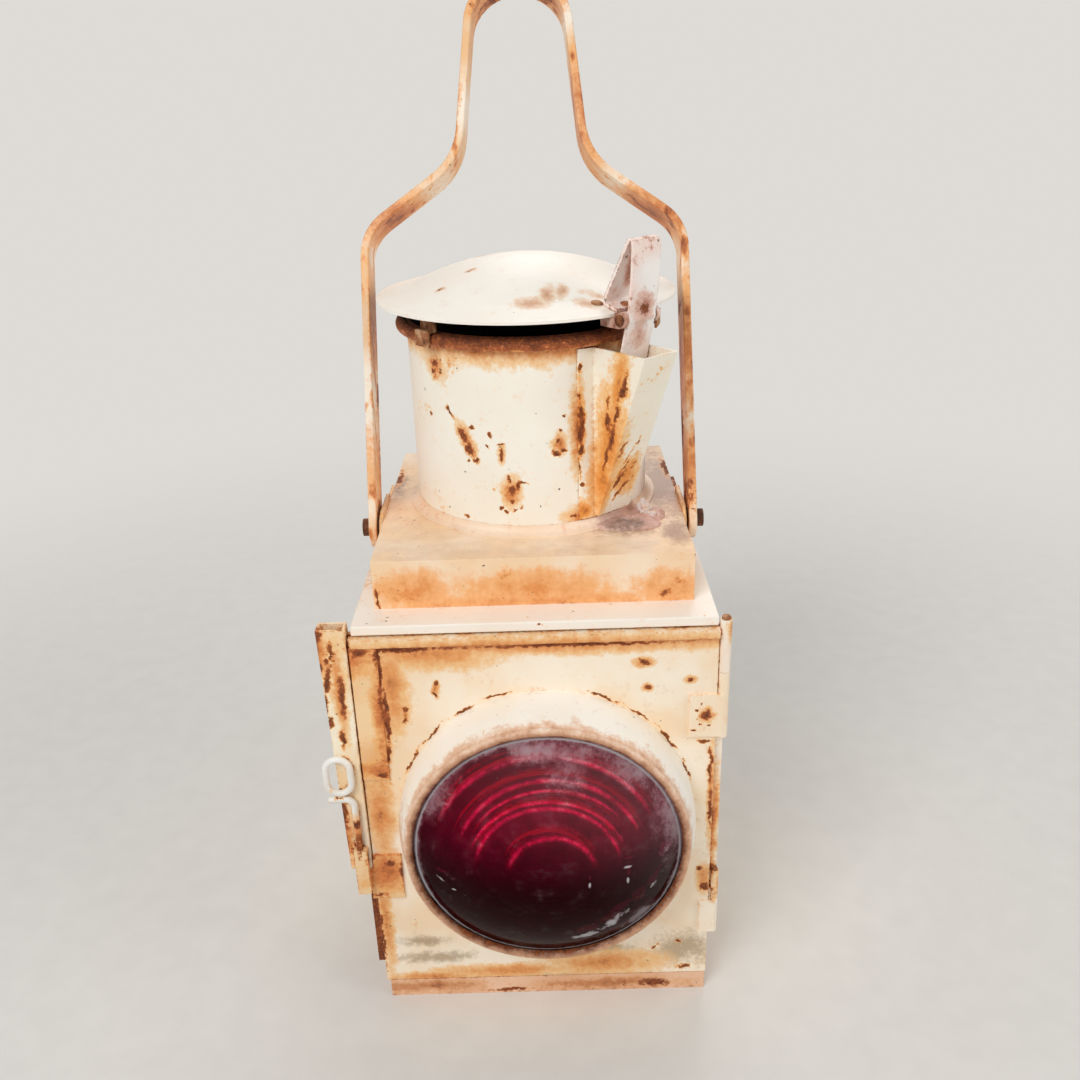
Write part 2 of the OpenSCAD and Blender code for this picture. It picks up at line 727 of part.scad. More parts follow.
// Raised plate at the upper corner of the door's free edge
module door_edge_plate() {
    color("sandybrown") difference() {
        block([door_left, door_face - 1.2, 140], [door_left + 12.5, door_face, door_top - 4.1]);
        lens_axis() cylinder(h = 5, r = bezel_foot_r + 0.5);
    }
}

// Small raised plate low on the door's free edge
module door_keeper_plate() {
    front = hook_y() - wire_r - 0.1;
    color("sandybrown") difference() {
        union() {
            block([door_left - 2, door_face - 1.2, keeper_z],
                [door_left + 14, door_face, keeper_z + keeper_h]);
            block([door_left - 8, front, keeper_z + 7],
                [door_left - 1.6, door_face, keeper_z + keeper_h + 7]);
        }
        translate([hook_x, hook_y(), keeper_z + keeper_h + 1]) cylinder(h = 20, r = wire_r, $fn = 32);
        block([door_left - 9, channel_y - 0.4, case_h - channel_h - 0.6],
            [door_left - 0.2, door_face + 4, keeper_z + keeper_h + 9]);
    }
}

// Straps on the door's face with the knuckles that turn on the pin
module door_hinge_straps() {
    // Each knuckle is [its foot, its top, its radius]
    knuckles = [[upper_strap_low, upper_split, hinge_knuckle_r], [hinge_low, lower_split, hinge_slim_r]];
    // Each plate is [its foot, its height, its reach onto the door]
    plates = [[upper_strap_low + 1, 23, 12.8], [hinge_low + 1, 20, 4.6]];
    color("wheat") difference() {
        union() {
            for (plate = plates) {
                block([door_right - plate[2], door_face - 1.2, plate[0]],
                    [hinge_x - 1, door_face, plate[0] + plate[1]]);
                block(
                    [hinge_x - 1, door_face - 1.2, plate[0]],
                    [hinge_x + 0.3, hinge_y, plate[0] + plate[1]]
                );
            }
            for (k = knuckles) translate([hinge_x, hinge_y, k[0]]) cylinder(h = k[1] - k[0], r = k[2]);
        }
        translate([hinge_x, hinge_y, 0]) cylinder(h = case_h + 10, r = hinge_pin_r + pin_play);
        lens_axis() cylinder(h = 5, r = bezel_foot_r + 0.5);
    }
}

// Ruby bull's-eye: a smooth dome outside, and inside rings that follow it in steps
module lens() {
    ring_r = [0.31, 0.51, 0.69, 0.81, 0.91] * lens_r;
    inner = [for (i = [0:len(ring_r) - 2]) each [
        [ring_r[i], glass_at(ring_r[i]) - glass_t - step_h],
        [ring_r[i + 1], glass_at(ring_r[i + 1]) - glass_t]
    ]];
    color("darkred", 0.75) lens_axis() translate([0, 0, glass_edge_h]) rotate_extrude() difference() {
        intersection() {
            polygon(concat(
                [
                    [0, glass_bulge - glass_t - 4], [ring_r[0] * 0.55, glass_bulge - glass_t - 3.4],
                    [ring_r[0], glass_at(ring_r[0]) - glass_t]
                ],
                inner,
                [
                    [ring_r[4], -glass_edge_t], [lens_r, -glass_edge_t],
                    [lens_r, glass_bulge + 20], [0, glass_bulge + 20]
                ]
            ));
            translate([0, glass_bulge - dome_glass_r]) circle(r = dome_glass_r, $fn = 200);
        }
        translate([-lens_r * 4, -80]) square([lens_r * 4, 160]);
    }
}
// Height of the dome above the edge of the glass at a radius
function glass_at(r) = sqrt(dome_glass_r * dome_glass_r - r * r) + glass_bulge - dome_glass_r;

// Spun ring that swells out from the door and turns in over the glass
module lens_bezel() {
    foot = [bezel_foot_r, 0.02];
    lip = [lens_r, bezel_proud];
    wall = bezel_curve(foot, lip, 2.4);
    inside = bezel_curve([foot[0] - sheet, foot[1]], [lip[0] - 0.2, lip[1] - sheet], 2.4);
    color("ivory") lens_axis() rotate_extrude() union() {
        polygon(concat(wall, reversed(inside)));
        translate([lens_r + 0.7, 0.02]) square([bezel_foot_r - lens_r - 1.2, sheet]);
        translate([lens_r - 0.2, bezel_proud - 0.6]) circle(r = bezel_lip_r, $fn = 32);
    }
}

// An arc between two points that swells outwards by a given amount
function bezel_curve(a, b, swell) =
    let (chord = b - a, l = norm(chord), r = (l * l / 4 + swell * swell) / (2 * swell),
        mid = (a + b) / 2, side = [-chord[1], chord[0]] / l, centre = mid + side * (r - swell),
        a0 = atan2(a[1] - centre[1], a[0] - centre[0]), a1 = atan2(b[1] - centre[1], b[0] - centre[0]))
    arc(centre, r, a0, a1, 14);

module lens_seal() {
    color("dimgray") lens_axis() difference() {
        translate([0, 0, glass_edge_h - glass_edge_t - 1.5]) cylinder(h = 1.4, r = lens_r - 0.3);
        translate([0, 0, glass_edge_h - 20]) cylinder(h = 40, r = lens_r - 2.3);
    }
}

// Sleeve behind the glass, flanged against the back of the door
module lens_retainer() {
    color("tan") lens_axis() difference() {
        union() {
            translate([0, 0, -sheet])
                cylinder(h = glass_edge_h - glass_edge_t - 1.6 + sheet, r = retainer_r);
            translate([0, 0, -sheet - 1.2]) cylinder(h = 1.2, r = lens_r + 5);
        }
        translate([0, 0, -5]) cylinder(h = 60, r = retainer_r - thin_sheet);
        for (a = [45:90:315]) rotate([0, 0, a])
            translate([lens_r + 2.6, 0, -5]) cylinder(h = 10, r = 1.2, $fn = 24);
    }
}

module retainer_screws() {
    color("dimgray") lens_axis() for (a = [45:90:315]) rotate([0, 0, a]) translate([lens_r + 2.6, 0, 0]) {
        translate([0, 0, -sheet - 1.2]) cylinder(h = sheet + 1.1, r = 1.15, $fn = 24);
        translate([0, 0, -sheet - 2.6]) cylinder(h = 1.4, r = 2.1, $fn = 24);
    }
}

// Long link of bent wire with a stem that turns in the front wall of the channel
module latch_ring() {
    mid_x = ring_x - link_r;
    color("whitesmoke") {
        translate([mid_x, ring_y, ring_z]) for (s = [-1, 1]) {
            translate([0, 0, s * link_straight / 2]) rotate([90, 0, 0]) difference() {
                rotate_extrude() translate([link_r, 0]) circle(r = wire_r, $fn = 32);
                translate([-20, s > 0 ? -40 : 0, -10]) cube([40, 40, 20]);
            }
            translate([s * link_r, 0, -link_straight / 2]) cylinder(h = link_straight, r = wire_r, $fn = 32);
        }
        translate([ring_x, 0, ring_z]) {
            translate([0, ring_y + 3.5, 0]) rod_y(7, 1.55);
            translate([0, ring_y + 2.1 + thin_sheet + 0.7, 0]) rod_y(1, 2.8);
        }
    }
}

// Wire hook that rises from the keeper plate and bends out under the ring
module latch_hook() {
    bend_r = 4;
    low_z = keeper_z + keeper_h + 1;
    arm_z = ring_z - link_straight / 2 - link_r - 2 * wire_r - 0.4;
    reach = 8.5;
    color("whitesmoke") translate([hook_x, hook_y(), 0]) {
        translate([0, 0, low_z]) cylinder(h = arm_z - bend_r - low_z, r = wire_r, $fn = 32);
        translate([-bend_r, 0, arm_z - bend_r]) rotate([90, 0, 0]) difference() {
            rotate_extrude() translate([bend_r, 0]) circle(r = wire_r, $fn = 32);
            translate([-20, -40, -10]) cube([40, 40, 20]);
            translate([-40, -20, -10]) cube([40, 40, 20]);
        }
        translate([-bend_r, 0, arm_z]) rotate([0, -90, 0])
            cylinder(h = reach - wire_r, r = wire_r, $fn = 32);
        translate([-bend_r - reach + wire_r, 0, arm_z]) sphere(r = wire_r, $fn = 32);
    }
}
function hook_y() = ring_y;

// Half of the handle's centre line, from the foot of the leg to the top of the bow
function handle_half() =
    let (
        shoulder_mid = [leg_x - shoulder_r, leg_rise],
        end_a = 90 - shoulder_slope,
        top_mid = [0, handle_reach - bow_r],
        neck_top = on_circle(top_mid, bow_r, 90 - neck_slope),
        shoulder = arc(shoulder_mid, shoulder_r, 0, end_a, 9),
        shoulder_end = shoulder[9],
        // The neck line leaves the bow at its slope and meets the shoulder line at the corner
        neck_dir = [cos(neck_slope), -sin(neck_slope)],
        slope_dir = [-cos(shoulder_slope), sin(shoulder_slope)],
        gap = shoulder_end - neck_top,
        along = (gap[0] * slope_dir[1] - gap[1] * slope_dir[0])
            / (neck_dir[0] * slope_dir[1] - neck_dir[1] * slope_dir[0]),
        corner = neck_top + neck_dir * along,
        turn = neck_slope - shoulder_slope,
        cut = neck_r * tan(turn / 2),
        neck_start = corner - slope_dir * cut,
        neck_mid = neck_start + neck_r * [sin(shoulder_slope), cos(shoulder_slope)]
    )
    concat(
        [[leg_x, 0]], shoulder,
        arc(neck_mid, neck_r, 270 - shoulder_slope, 270 - neck_slope, 8),
        arc(top_mid, bow_r, 90 - neck_slope, 90, 14)
    );

module handle() {
    half = handle_half();
    whole = concat(half, [for (p = reversed(half)) if (p[0] > 0.01) [-p[0], p[1]]]);
    last = len(whole) - 1;
    outer = [for (i = [0:last]) whole[i] - strip_side(whole, i) * bar_t / 2];
    inner = [for (i = [0:last]) whole[i] + strip_side(whole, i) * bar_t / 2];
    color("wheat") translate([0, pivot_y, pivot_z]) rotate([-handle_lean, 0, 0]) difference() {
        union() {
            translate([0, bar_w / 2, 0]) rotate([90, 0, 0]) linear_extrude(height = bar_w)
                polygon(concat(outer, reversed(inner)));
            for (s = [-1, 1]) rod_x(s * leg_x - bar_t / 2, s * leg_x + bar_t / 2, bar_w / 2);
        }
        for (s = [-1, 1]) rod_x(s * leg_x - bar_t, s * leg_x + bar_t, bolt_r + pin_play);
    }
}

// Spun cowl: a flat brim and a shallow dome
module cap() {
    joint_r = dome_foot_r - 0.3;
    color("ivory") translate([0, chimney_back, 0]) difference() {
        rotate_extrude() union() {
            polygon([
                [cap_r, brim_z], [joint_r, brim_at(joint_r)],
                [joint_r, brim_at(joint_r) - brim_t], [cap_r, brim_z - brim_t]
            ]);
            intersection() {
                translate([0, dome_foot_z + dome_rise - dome_r]) difference() {
                    circle(r = dome_r, $fn = 200);
                    circle(r = dome_r - thin_sheet, $fn = 200);
                }
                translate([0, dome_foot_z - 2]) square([dome_foot_r, dome_rise + 4]);
            }
        }
        rotate([0, 0, catch_az]) catch_holes();
        rotate([0, 0, cap_hinge_az]) leaf_holes();
    }
}

// Puts a shape drawn about Z square on the brim's upper face
module on_brim(r_at, side) {
    translate([r_at, side, brim_at(r_at)]) rotate([0, brim_slope, 0]) children();
}

// Rivet holes through the brim and what lies on and under it
module catch_holes() {
    for (s = [-1, 1]) on_brim(ear_rivet_r, s * 8.5) translate([0, 0, -8]) cylinder(h = 10, r = 1.6);
    on_brim(cap_r - 3, 0) translate([0, 0, -8]) cylinder(h = 10.4, r = 1.6);
}
module leaf_holes() {
    for (s = [-1, 1]) on_brim(cap_hinge_r - 9, s * 4.5) translate([0, 0, -8]) cylinder(h = 10, r = 1.6);
}

// A plate that lies under the brim at its slope: x is the distance from the chimney's axis
module under_brim(x0, x1, w, t) {
    z0 = brim_at(norm([x0, w / 2])) - brim_t - lie_gap;
    z1 = brim_at(norm([x1, w / 2])) - brim_t - lie_gap;
    radial_plate(w) polygon([[x0, z0], [x1, z1], [x1, z1 - t], [x0, z0 - t]]);
}

module cap_hinge_moving_leaf() {
    leaf_w = 16;
    middle = leaf_w - 10;
    color("saddlebrown") round_chimney(cap_hinge_az) difference() {
        union() {
            under_brim(cap_hinge_r - 14, cap_hinge_r - 0.5, leaf_w, sheet);
            translate([cap_hinge_r, 0, cap_hinge_z]) rod_y(middle, knuckle_r);
            radial_plate(middle) polygon([
                [cap_hinge_r - 2.6, cap_hinge_z], [cap_hinge_r - 0.6, cap_hinge_z],
                [cap_hinge_r - 0.6, brim_z - 1.2], [cap_hinge_r - 2.6, brim_z - 0.9]
            ]);
        }
        translate([cap_hinge_r, 0, cap_hinge_z]) rod_y(leaf_w, small_pin_r + pin_play);
        leaf_holes();
    }
}

// Plate under the brim with two ears that carry the pin of the catch
module catch_ears() {
    ear_gap = strip_w / 2 + 0.4;
    ear_thick = 2;
    color("saddlebrown") round_chimney(catch_az) difference() {
        union() {
            under_brim(ear_rivet_r - 3.4, cap_r - 1, 2 * (ear_gap + ear_thick), sheet);
            for (s = [-1, 1]) translate([0, s * (ear_gap + ear_thick / 2), 0]) radial_plate(ear_thick)
                polygon(concat(
                    [[cap_r - 8, brim_at(cap_r - 7) - 2], [cap_r - 8, brim_z - 6]],
                    [[catch_pin_r_at - 1, catch_pin_z - 4]],
                    arc([catch_pin_r_at, catch_pin_z], 3.6, -80, 80, 8),
                    [[cap_r + 0.6, catch_pin_z + 2.6], [cap_r + 0.3, brim_z - 1.4]]
                ));
        }
        translate([catch_pin_r_at, 0, catch_pin_z]) rod_y(40, small_pin_r);
        catch_holes();
    }
}

module catch_pin() {
    half = strip_w / 2 + 0.4 + 2;
    color("dimgray") round_chimney(catch_az) translate([catch_pin_r_at, 0, catch_pin_z]) {
        rod_y(2 * half, small_pin_r);
        for (s = [-1, 1]) translate([0, s * (half + 0.6), 0]) rod_y(1.2, 2.4);
    }
}

// Rivets that fix the hinge leaf, the ears and the foot of the catch spring to the cap
module cap_rivets() {
    color("tan") {
        round_chimney(cap_hinge_az) for (s = [-1, 1])
            on_brim(cap_hinge_r - 9, s * 4.5) translate([0, 0, 0.02]) rivet(1.5, 3.2);
        round_chimney(catch_az) {
            for (s = [-1, 1]) on_brim(ear_rivet_r, s * 8.5) translate([0, 0, 0.02]) rivet(1.5, 3.2);
            on_brim(cap_r - 3, 0) translate([0, 0, strip_t + 0.26]) rivet(1.5, strip_t + 3.2);
        }
    }
}

// Outer leg of the catch, from its fold down to its curled end: points are [distance out, height]
function lever_line() = concat(
    [
        [catch_pin_r_at + 5.1, fold_z - 0.4], [catch_pin_r_at + 5.6, fold_z - 3],
        [catch_pin_r_at + 5, brim_z + 14], [catch_pin_r_at + 3.6, brim_z + 3],
        [catch_pin_r_at + 2, brim_z - 5], [catch_pin_r_at - 1.2, pocket_top_z - 1],
        [catch_pin_r_at - 3.4, pocket_top_z - 14]
    ],
    arc([catch_pin_r_at - 8.2, pocket_top_z - 15], 4.6, -10, -170, 8)
);

module catch_lever() {
    color("mistyrose") round_chimney(catch_az) difference() {
        union() {
            radial_plate(strip_w) polygon(strip_outline(lever_line(), -strip_t));
            translate([catch_pin_r_at, 0, catch_pin_z]) rod_y(strip_w, knuckle_r);
        }
        translate([catch_pin_r_at, 0, catch_pin_z]) rod_y(strip_w + 4, small_pin_r + pin_play);
    }
}

// The direction across a line of points, to its left
function strip_side(line, i) =
    let (last = len(line) - 1, t = line[min(i + 1, last)] - line[max(i - 1, 0)]) [-t[1], t[0]] / norm(t);
// The outline of a bent strip between a line of points and the same line moved aside
function strip_outline(line, t) =
    concat(line, [for (i = [len(line) - 1:-1:0]) line[i] + strip_side(line, i) * t]);

// Inner leg of the catch: up from its riveted foot on the brim to the fold
module catch_spring() {
    foot_in = cap_r - 7.4;
    bend = 1;
    lean = 74;
    foot_z = brim_at(foot_in + bend) + strip_t + 0.25;
    top = [catch_pin_r_at + 3.1, fold_z - 0.9];
    line = concat(
        [[cap_r + 0.2, brim_at(cap_r + 0.2) + strip_t + 0.25]],
        arc([foot_in + bend, foot_z + bend], bend, 270, 180 - (90 - lean), 6), [top]
    );
    color("rosybrown") round_chimney(catch_az) difference() {
        radial_plate(strip_w) polygon(strip_outline(line, strip_t));
        catch_holes();
    }
}

base_pan();
case_shell();
front_frame();
lid();
upper_box();
chimney();
chimney_collar();
catch_pocket();
cap_supports();
cap_hinge_fixed_leaf();
cap_hinge_pin();
side_channel();
rear_socket();
handle_brackets();
handle_bolts();
case_hinge_leaf();
door_hinge_pin();
case_rivets();
vessel_guides();
oil_vessel();
filler_cap();
burner_collar();
burner_gallery();
wick_tube();
burner_cone();
winder_shaft();
winder_wheels();
winder_knob();
wick();
door_panel();
door_edge_plate();
door_keeper_plate();
door_hinge_straps();
lens();
lens_bezel();
lens_seal();
lens_retainer();
retainer_screws();
latch_hook();
latch_ring();
handle();
cap();
cap_hinge_moving_leaf();
catch_ears();
catch_pin();
cap_rivets();
catch_lever();
catch_spring();
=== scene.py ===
import math
from types import SimpleNamespace

import bmesh
import bpy
from mathutils import Matrix, Vector, noise


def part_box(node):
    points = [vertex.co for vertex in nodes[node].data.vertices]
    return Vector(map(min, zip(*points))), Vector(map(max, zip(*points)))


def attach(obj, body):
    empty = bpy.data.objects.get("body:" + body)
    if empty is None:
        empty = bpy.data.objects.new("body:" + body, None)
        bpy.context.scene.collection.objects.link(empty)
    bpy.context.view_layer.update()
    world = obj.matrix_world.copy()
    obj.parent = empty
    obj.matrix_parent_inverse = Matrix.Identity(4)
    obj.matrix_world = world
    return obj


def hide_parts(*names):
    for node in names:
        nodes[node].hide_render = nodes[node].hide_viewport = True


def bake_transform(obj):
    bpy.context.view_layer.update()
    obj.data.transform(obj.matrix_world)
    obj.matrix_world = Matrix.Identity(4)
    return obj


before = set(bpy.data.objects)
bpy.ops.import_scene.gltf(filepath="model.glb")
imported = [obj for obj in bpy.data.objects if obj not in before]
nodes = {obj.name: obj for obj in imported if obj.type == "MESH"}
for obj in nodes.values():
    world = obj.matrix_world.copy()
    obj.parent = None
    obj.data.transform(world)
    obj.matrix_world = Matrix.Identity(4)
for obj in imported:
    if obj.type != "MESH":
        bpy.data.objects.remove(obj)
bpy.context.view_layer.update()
MM = 0.001


# Camera: it stands half a metre in front of the door at eye height above the cap and
# looks down 24 degrees, as the photograph was taken, with a slight roll of the hand.
PHOTO_SIDE = 1080
FOCAL_PX = 1057.0
SENSOR = 36
EYE_X, EYE_Y, EYE_Z = 6.93, -499.81, 446.46
PITCH, ROLL, YAW = (math.radians(a) for a in (23.96, -1.91, -0.44))
forward = Vector((math.sin(YAW) * math.cos(PITCH), math.cos(YAW) * math.cos(PITCH), -math.sin(PITCH)))
level_right = Vector((math.cos(YAW), -math.sin(YAW), 0))
level_up = level_right.cross(forward)
right = level_right * math.cos(ROLL) + level_up * math.sin(ROLL)
up = level_up * math.cos(ROLL) - level_right * math.sin(ROLL)
camera = bpy.data.objects.new("camera", bpy.data.cameras.new("camera"))
camera.data.sensor_width = SENSOR
camera.data.lens = SENSOR * FOCAL_PX / PHOTO_SIDE
camera.matrix_world = Matrix((
    (right.x, up.x, -forward.x, EYE_X * MM),
    (right.y, up.y, -forward.y, EYE_Y * MM),
    (right.z, up.z, -forward.z, EYE_Z * MM),
    (0, 0, 0, 1),
))
bpy.context.scene.collection.objects.link(camera)
bpy.context.scene.camera = camera
bpy.context.scene.view_settings.view_transform = "Standard"


# Studio: a pale matt floor, three soft boxes and an even sky. The main box stands high in
# front on the left, so the brim of the cap and the bezel shade what lies under them.
LAMPS_AIM_AT = Vector((0, 0, 0.2))


def soft_box(name, place, side, watts):
    """A square area lamp that faces the middle of the object."""
    lamp = bpy.data.objects.new(name, bpy.data.lights.new(name, "AREA"))
    lamp.data.shape = "SQUARE"
    lamp.data.size = side
    lamp.data.energy = watts
    lamp.location = place
    lamp.rotation_euler = (LAMPS_AIM_AT - Vector(place)).to_track_quat("-Z", "Y").to_euler()
    bpy.context.scene.collection.objects.link(lamp)


soft_box("main_box", (-0.75, -1.25, 1.45), 0.9, 17)
soft_box("side_box", (1.5, -0.7, 0.75), 0.7, 6)
soft_box("back_box", (0.3, 1.5, 1.3), 1.0, 9)


def linear(code):
    """A linear colour with full alpha from an sRGB hex value."""
    parts = [int(code[i:i + 2], 16) / 255 for i in (1, 3, 5)]
    return [c / 12.92 if c <= 0.04045 else ((c + 0.055) / 1.055) ** 2.4 for c in parts] + [1.0]


def put(tree, kind, feeds=None, take=0, stops=None, **settings):
    """Adds a node with its settings and what feeds its sockets, and returns the output to take."""
    node = tree.nodes.new("ShaderNode" + kind)
    for key, value in settings.items():
        setattr(node, key, value)
    for socket, value in (feeds or {}).items():
        if isinstance(value, bpy.types.NodeSocket):
            tree.links.new(value, node.inputs[socket])
        else:
            node.inputs[socket].default_value = value
    if stops:
        ramp = node.color_ramp.elements
        while len(ramp) < len(stops):
            ramp.new(0.5)
        for element, (place, code) in zip(ramp, stops):
            element.position = place
            element.color = linear(code)
    return node.outputs[take] if node.outputs else node


def reckon(tree, operation, *numbers, **settings):
    """The result of one sum, such as ADD, on its numbers in order."""
    return put(tree, "Math", dict(enumerate(numbers)), operation=operation, **settings)


def seen_rays(tree):
    """1 for the rays that show the backdrop: straight, in a mirror or through glass."""
    rays = tree.nodes.new("ShaderNodeLightPath")
    seen = reckon(tree, "MAXIMUM", rays.outputs["Is Camera Ray"], rays.outputs["Is Glossy Ray"])
    return reckon(tree, "MAXIMUM", seen, rays.outputs["Is Transmission Ray"])


PAPER = "#dedbd6"
sky = bpy.data.worlds.new("studio")
bpy.context.scene.world = sky
sky.use_nodes = True
sky.node_tree.nodes.clear()
even = put(sky.node_tree, "Background", {"Color": linear("#ffffff"), "Strength": 0.42})
behind = put(sky.node_tree, "Background", {"Color": linear(PAPER), "Strength": 1.0})
shown = put(sky.node_tree, "MixShader", {0: seen_rays(sky.node_tree), 1: even, 2: behind})
put(sky.node_tree, "OutputWorld", {"Surface": shown})

# The paper floor goes over into the backdrop's own tone from 0.35 m out, so that no horizon shows.
FLOOR_HALF = 9
FADE_START, FADE_END = 0.35, 1.0
floor_mesh = bpy.data.meshes.new("floor")
floor_corners = [(-FLOOR_HALF, -FLOOR_HALF, 0), (FLOOR_HALF, -FLOOR_HALF, 0),
                 (FLOOR_HALF, FLOOR_HALF, 0), (-FLOOR_HALF, FLOOR_HALF, 0)]
floor_mesh.from_pydata(floor_corners, [], [(0, 1, 2, 3)])
floor = bpy.data.objects.new("floor", floor_mesh)
bpy.context.scene.collection.objects.link(floor)
matt = bpy.data.materials.new("matt_studio_paper")
matt.use_nodes = True
tree = matt.node_tree
tree.nodes.clear()
spot = put(tree, "NewGeometry", take="Position")
out = put(tree, "VectorMath", {0: spot}, take="Value", operation="LENGTH")
fade = put(tree, "MapRange", {
    "Value": out, "From Min": FADE_START, "From Max": FADE_END,
}, interpolation_type="SMOOTHSTEP")
fade = reckon(tree, "MULTIPLY", fade, seen_rays(tree))
fibre = put(tree, "TexNoise", {"Vector": spot, "Scale": 60.0, "Detail": 3.0}, take="Fac")
pulp = put(tree, "ValToRGB", {"Fac": fibre}, stops=[(0.3, "#dcd9d4"), (0.7, "#e0ddd8")])
paper = put(tree, "BsdfPrincipled", {"Base Color": pulp, "Roughness": 0.9})
backdrop = put(tree, "Emission", {"Color": linear(PAPER), "Strength": 1.0})
put(tree, "OutputMaterial", {"Surface": put(tree, "MixShader", {0: fade, 1: paper, 2: backdrop})})
floor_mesh.materials.append(matt)


# Base pan and case shell: 1.5 mm sheet steel, folded and riveted, brushed with cream lead
# paint. Decades in the weather have stained it tan and let brown rust through at the folds,
# and the flame has blackened the shell inside.
def between(tree, value, low, high, new_low=0.0, new_high=1.0):
    """A soft step of a value from low to high."""
    return put(tree, "MapRange", {
        "Value": value, "From Min": low, "From Max": high, "To Min": new_low, "To Max": new_high,
    }, interpolation_type="SMOOTHSTEP")


def blend(tree, share, under, over):
    """One colour laid over another by a share from 0 to 1."""
    return put(tree, "Mix", {0: share, 6: under, 7: over}, take=2, data_type="RGBA")


def uneven(tree, where, size, detail, rough=0.5, take="Fac"):
    """Noise whose patterns are about size mm across."""
    feeds = {"Vector": where, "Scale": 1 / size, "Detail": detail, "Roughness": rough}
    return put(tree, "TexNoise", feeds, take=take)


def cells(tree, where, size):
    """Cells about size mm across: how far a point is from its cell's middle, and the cell's chance."""
    away = put(tree, "TexVoronoi", {"Vector": where, "Scale": 1 / size}, take="Distance")
    chance = put(tree, "TexVoronoi", {"Vector": where, "Scale": 1 / size}, take="Color")
    return away, put(tree, "SeparateXYZ", {0: chance}, take="X")


def round_spot(tree, where, x, y, z, half_x, half_y, half_z, turn=0.0):
    """1 in the middle of an egg-shaped spot and 0 at its skin: place and half sizes in mm, and its
    turn about Y in degrees."""
    inside = put(tree, "TexGradient", {"Vector": where}, take="Fac", gradient_type="SPHERICAL")
    egg = inside.node.texture_mapping
    egg.vector_type = "TEXTURE"
    egg.translation = (x, y, z)
    egg.scale = (half_x, half_y, half_z)
    egg.rotation = (0, math.radians(turn), 0)
    return inside


RING_FADE = 14


def ring_spot(tree, where, x, z, radius, half, low):
    """1 along a ring round a line parallel to Y and 0 half its width away, in mm. It fades out
    down to the height of its low end."""
    flat = put(tree, "VectorMath", {0: where, 1: (1, 0, 1), 2: (-x, 0, -z)}, operation="MULTIPLY_ADD")
    away = put(tree, "VectorMath", {0: flat}, take="Value", operation="LENGTH")
    away = reckon(tree, "SUBTRACT", away, radius)
    away = reckon(tree, "DIVIDE", reckon(tree, "ABSOLUTE", away), half)
    height = put(tree, "SeparateXYZ", {0: flat}, take="Z")
    above = between(tree, height, low - z, low - z + RING_FADE)
    inside = reckon(tree, "SUBTRACT", 1.0, away)
    return reckon(tree, "MULTIPLY", inside, above)


def patches(tree, where, spots):
    """How deep a point lies in the spots, from 0 to 1. Five numbers are a ring, six or seven an egg."""
    depth = 0.0
    for spot in spots:
        draw = ring_spot if len(spot) == 5 else round_spot
        depth = reckon(tree, "MAXIMUM", depth, draw(tree, where, *spot))
    return depth


def new_material(name):
    """An empty material, its node tree and the place on the piece in mm."""
    material = bpy.data.materials.new(name)
    material.use_nodes = True
    tree = material.node_tree
    tree.nodes.clear()
    surface = put(tree, "TexCoord", take="Object")
    mm = put(tree, "VectorMath", {0: surface, 1: (1000, 1000, 1000)}, operation="MULTIPLY")
    return material, tree, mm


def coat_grain(tree, mm):
    """The noises of an old coat, in mm: clouds of 40, blotches of 8, pits of 2, grit of 0.6 and
    drips 50 long; and the place where a spot is looked up, pushed about to tear its outline."""
    grain = SimpleNamespace()
    grain.cloud = uneven(tree, mm, 40, 3.0)
    grain.blotch = uneven(tree, mm, 8, 6.0, 0.66)
    grain.fine = uneven(tree, mm, 2, 4.0, 0.70)
    grain.grit = uneven(tree, mm, 0.6, 2.0)
    drip_space = put(tree, "VectorMath", {0: mm, 1: (1 / 6, 1 / 6, 1 / 50)}, operation="MULTIPLY")
    grain.drip = uneven(tree, drip_space, 1, 3.0)
    grain.where = mm
    for size, push in ((7, 4), (1.5, 1.6)):
        wobble = uneven(tree, mm, size, 2.0, take="Color")
        shift = put(tree, "VectorMath", {0: wobble, 1: (0.5, 0.5, 0.5)}, operation="SUBTRACT")
        feeds = {0: shift, 1: (push, push, push), 2: grain.where}
        grain.where = put(tree, "VectorMath", feeds, operation="MULTIPLY_ADD")
    return grain


def rust_share(tree, grain, bare, worn_edge, seam, speckle):
    """How far rust is through the paint: in bare spots, on rubbed edges, in damp corners, in clusters."""
    normal = put(tree, "NewGeometry", take="Normal")
    rounded = put(tree, "Bevel", {"Radius": 1.4 * MM}, samples=6)
    facing = put(tree, "VectorMath", {0: rounded, 1: normal}, take="Value", operation="DOT_PRODUCT")
    edge = between(tree, facing, 0.99, 0.80)
    open_sky = put(tree, "AmbientOcclusion", {"Distance": 8 * MM}, take="AO", samples=6)
    corner = between(tree, open_sky, 0.72, 0.25)
    rust = patches(tree, grain.where, bare)
    worn = reckon(tree, "MULTIPLY", edge, worn_edge * 0.56)
    rust = reckon(tree, "MAXIMUM", rust, worn)
    packed = reckon(tree, "MULTIPLY", corner, seam * 0.6)
    rust = reckon(tree, "MAXIMUM", rust, packed)
    cluster = between(tree, grain.cloud, 0.50, 0.72, 0.0, speckle * 0.30)
    rust = reckon(tree, "MAXIMUM", rust, cluster)
    torn = reckon(tree, "MULTIPLY_ADD", grain.blotch, 1.3, -1.2)
    torn = reckon(tree, "MULTIPLY_ADD", grain.fine, 1.1, torn)
    lively = between(tree, rust, 0.0, 0.3, 0.4, 1.0)
    return reckon(tree, "MULTIPLY_ADD", torn, lively, rust)


